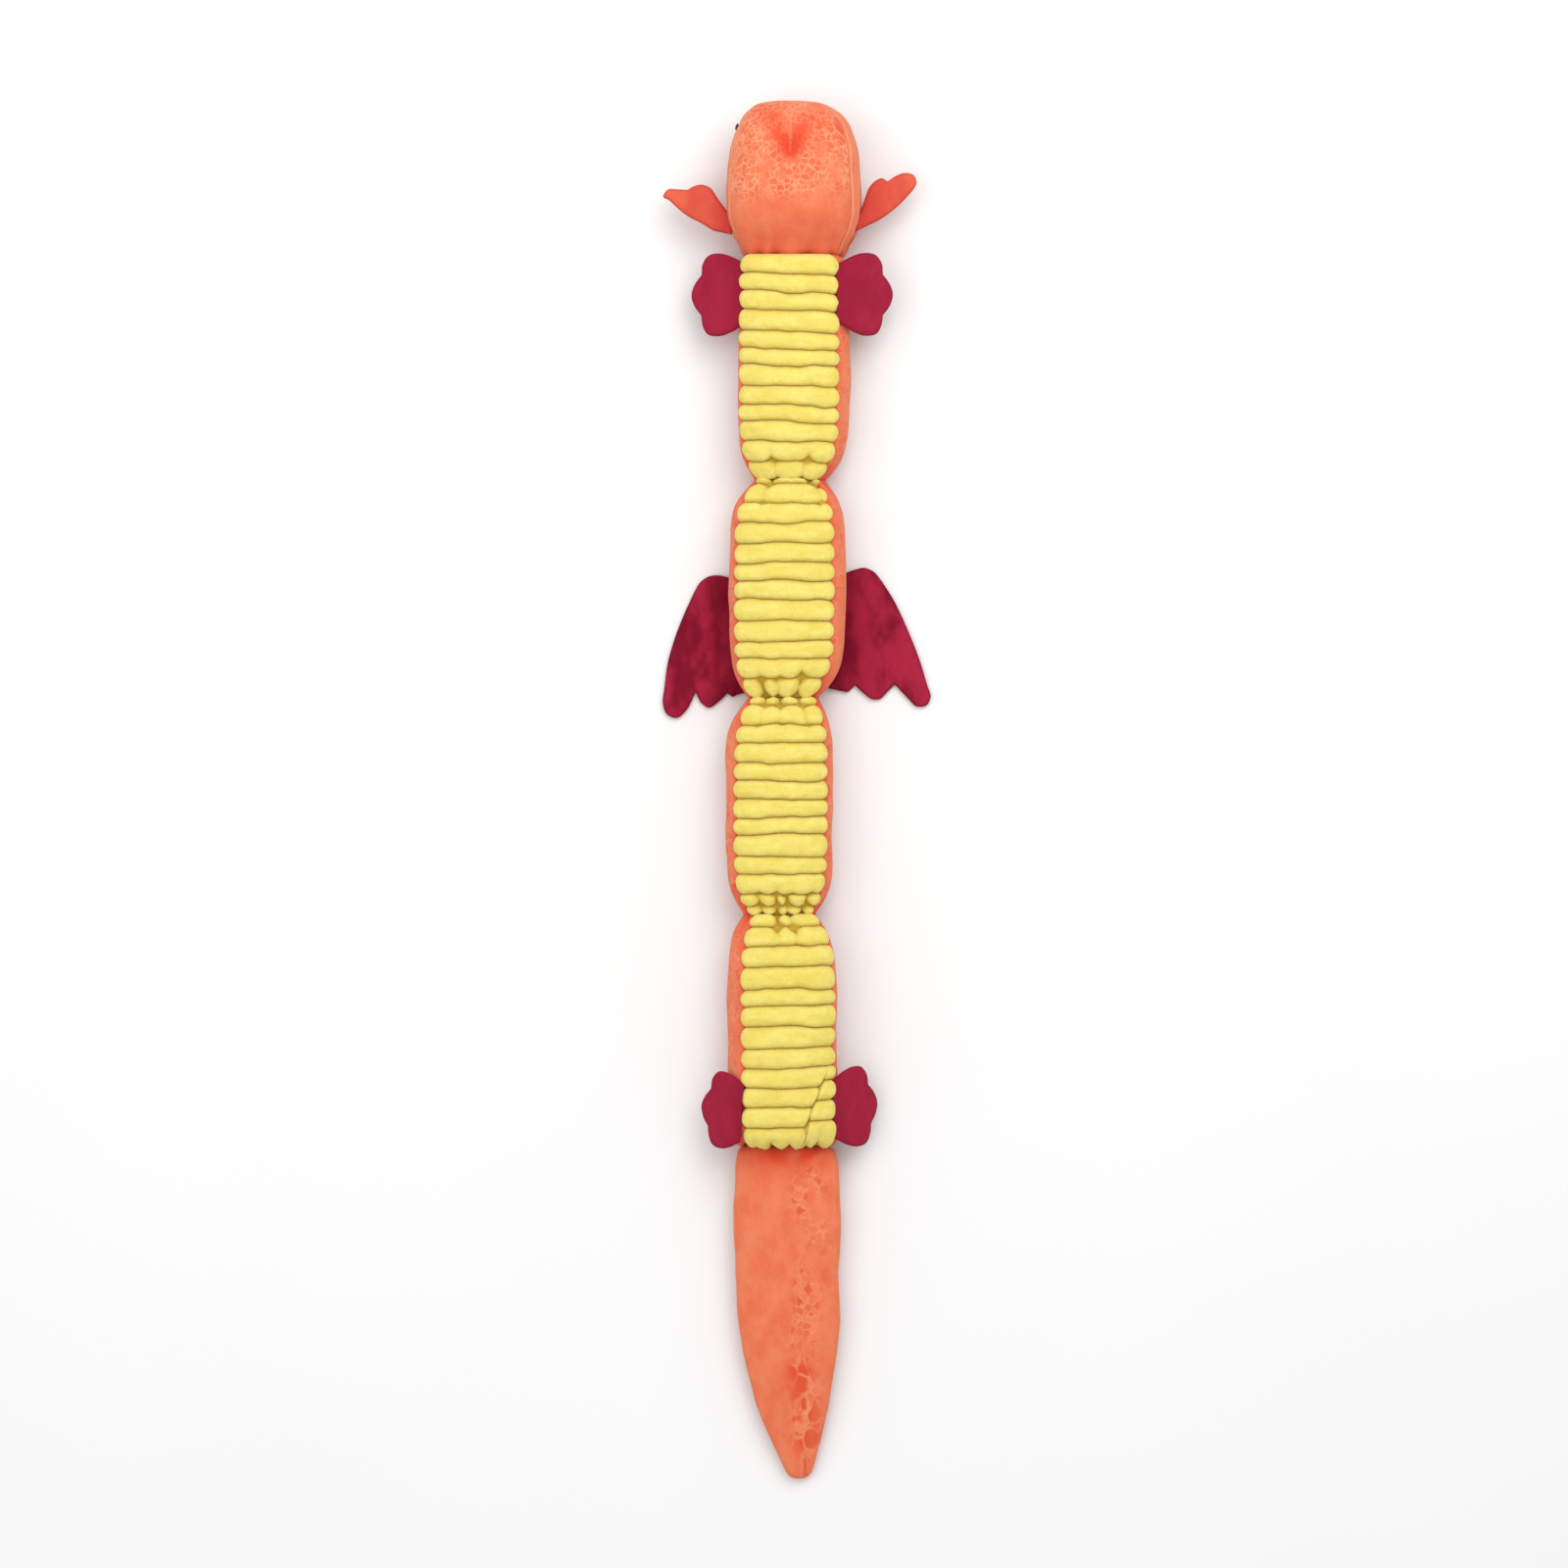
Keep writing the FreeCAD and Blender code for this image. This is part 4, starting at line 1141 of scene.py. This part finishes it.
def closed_outline(runs, root_tab, size):
    """Points around a flap, with a tab past its root that reaches into the seam."""
    parts = [smooth_line(run, RIM_STEP)[:-1] * size for run in runs]
    first, last = np.array(runs[0][0]) * MM * size, np.array(runs[-1][-1]) * MM * size
    corners = []
    for corner, line in ((last, parts[-1][::-1]), (first, parts[0])):
        slope = (corner[1] - line[4, 1]) / (corner[0] - line[4, 0])
        corners.append(corner - (root_tab, root_tab * slope))
    tab = [last, corners[0], corners[1], first]
    for start, end in zip(tab, tab[1:]):
        count = max(int(np.hypot(*(end - start)) / RIM_STEP), 1)
        parts.append(start + (end - start) * np.arange(count)[:, None] / count)
    return np.concatenate(parts)


def filled_mesh(outline, step):
    """Triangles inside an outline: all points, with the outline's first, and the triangles."""
    low, high = outline.min(0), outline.max(0)
    xs, ys = np.meshgrid(np.arange(low[0], high[0], step), np.arange(low[1], high[1], step * 0.87))
    xs[1::2] += step / 2
    inner = np.stack([xs.ravel(), ys.ravel()], -1)
    far = np.min(np.hypot(*(inner[:, None] - outline[None]).transpose(2, 0, 1)), 1) > 0.7 * step
    points = [Vector(p) for p in np.concatenate([outline, inner[far]])]
    ring = list(range(len(outline)))
    made = delaunay_2d_cdt(points, [], [ring], 1, 1e-7)
    return np.array([tuple(p) for p in made[0]]), [list(t) for t in made[2]]


print("a paw is filled with", len(filled_mesh(closed_outline(PAW, 3 * MM, 1.0), FLAP_STEP)[1]), "triangles")

# %% [markdown]
# The layers part from the edge inwards like a thin pillow, and both follow the same wave, so they never
# cross. Each flap is placed at its hinge, droops a little, and rides on a body of its own. A wing also
# has a sheet of wadding between its layers, cut smaller than they are.

# %% Make a flap
LAYER = 0.8 * MM    # the thickness of a layer of a flap
PADDING = 2.2 * MM  # and of the wadding of a wing


def flap(name, runs, cloth, slot, words, side, droop, plump, edge, wave, seed, size=1.0, tab=3.0, splay=0,
         out=0, shaded=10, shift=0, pad=False):
    """Two layers of a flap, placed at its hinge and riding on its body, in mm and degrees."""
    outline = closed_outline(runs, (tab + out) * MM, size)
    splay = np.radians(splay)
    spread = np.array([[np.cos(splay), -np.sin(splay)], [np.sin(splay), np.cos(splay)]])
    outline = outline @ spread + (out * MM, 0)
    flat, triangles = filled_mesh(outline, FLAP_STEP)
    free = outline[outline[:, 0] > -2.5 * MM]
    rim = np.min(np.hypot(*(flat[:, None] - free[None]).transpose(2, 0, 1)), 1)
    on_rim = rim < 1e-6
    in_from_edge = np.clip(rim / (edge * MM), 0, 1)
    x, y = flat.T
    lumpy = 0.8 + 0.25 * hills(x / 0.013, y / 0.013, seed)
    pillow = plump * MM * np.sqrt(1 - (1 - in_from_edge) ** 2) * lumpy
    lean = wave * MM * hills(x / 0.024, y / 0.024, seed + 1) * np.clip(x / 0.01, 0, 1)
    lean = lean + 0.3 * MM * hills(x / 0.006, y / 0.006, seed + 2)
    # painted shade: darker towards the root, over the length shaded, and along the rim
    depth = np.exp(-np.maximum(x, 0) / (shaded * MM)) * 0.9 + 0.3 * bell(rim, 1.2 * MM)
    hinge = joint_at[name + "_flap"]
    root_y = 0.0 if name.startswith("wing") else hinge.y + shift * MM
    turn = Matrix.Rotation(side * math.radians(droop), 3, "Y")
    for word, up in zip(words, (-1, 1)):
        points = np.stack([side * x, y, lean + up * np.where(on_rim, 0, pillow)], -1)
        points = points @ np.array(turn).T + (hinge.x, root_y, hinge.z)
        points[:, 2] = np.maximum(points[:, 2], LIFTED)
        faces = [t[::-1] if up * side < 0 else t for t in triangles]
        piece = make_mesh(f"{name}_{word}_layer", points, faces, cloth, {"depth": depth})
        apply_modifier(piece, "SOLIDIFY", thickness=LAYER, offset=-1.0)
        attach(piece, name)
        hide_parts(f"{name}_{word}")
    if pad:
        points = np.stack([side * x, y, lean], -1) @ np.array(turn).T + (hinge.x, root_y, hinge.z)
        inner = [t for t in triangles if rim[t].min() > 3 * MM and x[t].min() > -2 * MM]
        used = np.unique(inner)
        new = {old: n for n, old in enumerate(used)}
        faces = [[new[v] for v in t] for t in inner]
        piece = make_mesh(name + "_wadding", points[used], faces, "filling", {})
        apply_modifier(piece, "SOLIDIFY", thickness=PADDING, offset=0.0)
        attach(piece, name)
        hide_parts(name + "_padding")
    print(name, "is", [round(v / MM) for v in outline.max(0) - outline.min(0)], "mm flat")


# %% [markdown]
# The eight flaps share three kinds. What differs from one to the next is what a sewer's hand does: a paw a
# little bigger, turned, further out or higher up the seam than its twin.

# %% Sew on the paws, ears and wings
PAW_KIND = {"cloth": "paw", "slot": "paw_suede", "words": ("sole", "top"),
            "plump": 2.2, "edge": 4, "wave": 0.9}
EAR_KIND = {"cloth": "ear", "slot": "ear_plush", "words": ("back", "front"),
            "plump": 2.2, "edge": 5, "wave": 1.2, "shaded": 19, "shift": -8}
WING_KIND = {"cloth": "wing", "slot": "wing_plush", "words": ("lower", "upper"),
             "plump": 2.9, "edge": 7, "wave": 0, "pad": True}
flap("paw_front_left", PAW, side=-1, droop=25, seed=90, out=-1.2, **PAW_KIND)
flap("paw_front_right", PAW, side=1, droop=25, seed=92, out=2.6, **PAW_KIND)
flap("paw_hind_left", PAW, side=-1, droop=40, size=0.93, seed=94, splay=-6, out=-1.0, shift=-3.3, **PAW_KIND)
flap("paw_hind_right", PAW, side=1, droop=40, size=0.97, seed=96, splay=-5, out=1.4, shift=-4.0, **PAW_KIND)
flap("ear_left", EAR_LEFT, side=-1, droop=14, seed=101, tab=6, **EAR_KIND)
flap("ear_right", EAR_RIGHT, side=1, droop=14, seed=104, tab=6, **EAR_KIND)
flap("wing_left", WING_LEFT, side=-1, droop=0, tab=7, seed=107, **WING_KIND)
flap("wing_right", WING_RIGHT, side=1, droop=0, tab=7, seed=111, out=0.8, **WING_KIND)

# %% [markdown]
# ## What lies inside
# The squeakers and their reeds, the elastics, the tape and the filling of the tail are the frame's own
# shapes, which are right as they are. They only get finishes: teased fibre, cloudy plastic, knitted
# elastic and cotton.

# %% Finish the inner parts
INNER = {
    "filling": cloths["filling"],
    "squeaker": hidden("squeaker_plastic", paint(236, 238, 240), paint(214, 220, 226), 0.012, 0.28, clear=0.3),
    "squeaker_reed": hidden("reed_plastic", paint(70, 120, 190), paint(58, 104, 172), 0.006, 0.3),
    "elastic": hidden("elastic_band", paint(232, 230, 224), paint(190, 188, 180), 0.0009, 0.7, stripes=6.0),
    "tape": hidden("cotton_tape", paint(228, 224, 212), paint(206, 200, 186), 0.0011, 0.8, stripes=3.0),
}
dressed = 0
for name, node in frame["nodes"].items():
    for ending, finish in INNER.items():
        if name.endswith("_" + ending):
            node.data.materials.clear()
            node.data.materials.append(finish)
            dressed += 1
print(dressed, "inner parts")

# %% [markdown]
# ## Studio
# The toy lies on a pale floor. Two large soft lamps and a bright even surrounding light it nearly without
# shadows. The floor is far wider than the toy, so that its edge never shows.

# %% Floor and light
FLOOR_SIZE = 40
LAMPS = (((0.5, 1.1, 1.9), 1.6, 26), ((-1.0, 0.2, 2.2), 1.8, 16))  # place, size in metres and watts


def studio():
    """The floor, the surrounding light and the lamps."""
    bpy.ops.mesh.primitive_plane_add(size=FLOOR_SIZE, location=(0, 0, 0))
    floor = bpy.context.object
    floor.name = "floor"
    f = Finish("pale_floor")
    speck = f.noise(f.place(), 0.3, 2.0)
    floor.data.materials.append(f.surface(f.mix(speck, paint(250, 250, 250), paint(246, 246, 246)), 0.9))
    world = bpy.data.worlds.new("soft_room")
    world.use_nodes = True
    world.node_tree.nodes["Background"].inputs[0].default_value = (1, 1, 1, 1)
    world.node_tree.nodes["Background"].inputs[1].default_value = 0.80
    bpy.context.scene.world = world
    bpy.context.scene.view_settings.view_transform = "Standard"
    for spot, size, watts in LAMPS:
        lamp = bpy.data.lights.new("soft_box", "AREA")
        lamp.size, lamp.energy = size, watts
        holder = bpy.data.objects.new("soft_box", lamp)
        holder.location = spot
        holder.rotation_euler = (Vector((0, 0, 0)) - Vector(spot)).to_track_quat("-Z", "Y").to_euler()
        bpy.context.scene.collection.objects.link(holder)


studio()
print(len(LAMPS), "lamps over a floor of", FLOOR_SIZE, "m")

# %% [markdown]
# The camera looks straight down from four metres with a long lens, so it shows almost no perspective.

# %% Camera
def camera():
    """A camera above the toy, which looks down without being turned."""
    optics = bpy.data.cameras.new("camera")
    holder = bpy.data.objects.new("camera", optics)
    optics.sensor_width, optics.lens = 36.0, 126.73
    optics.clip_end = 50
    holder.location = (-8.9 * MM, 6.4 * MM, 4.03)
    bpy.context.scene.collection.objects.link(holder)
    bpy.context.scene.camera = holder


camera()
print("camera", bpy.context.scene.camera.location.z, "m above the floor")

# %% [markdown]
# ## Size
# Cloth may puff a little past the frame, but the toy must stay as big as the frame says.
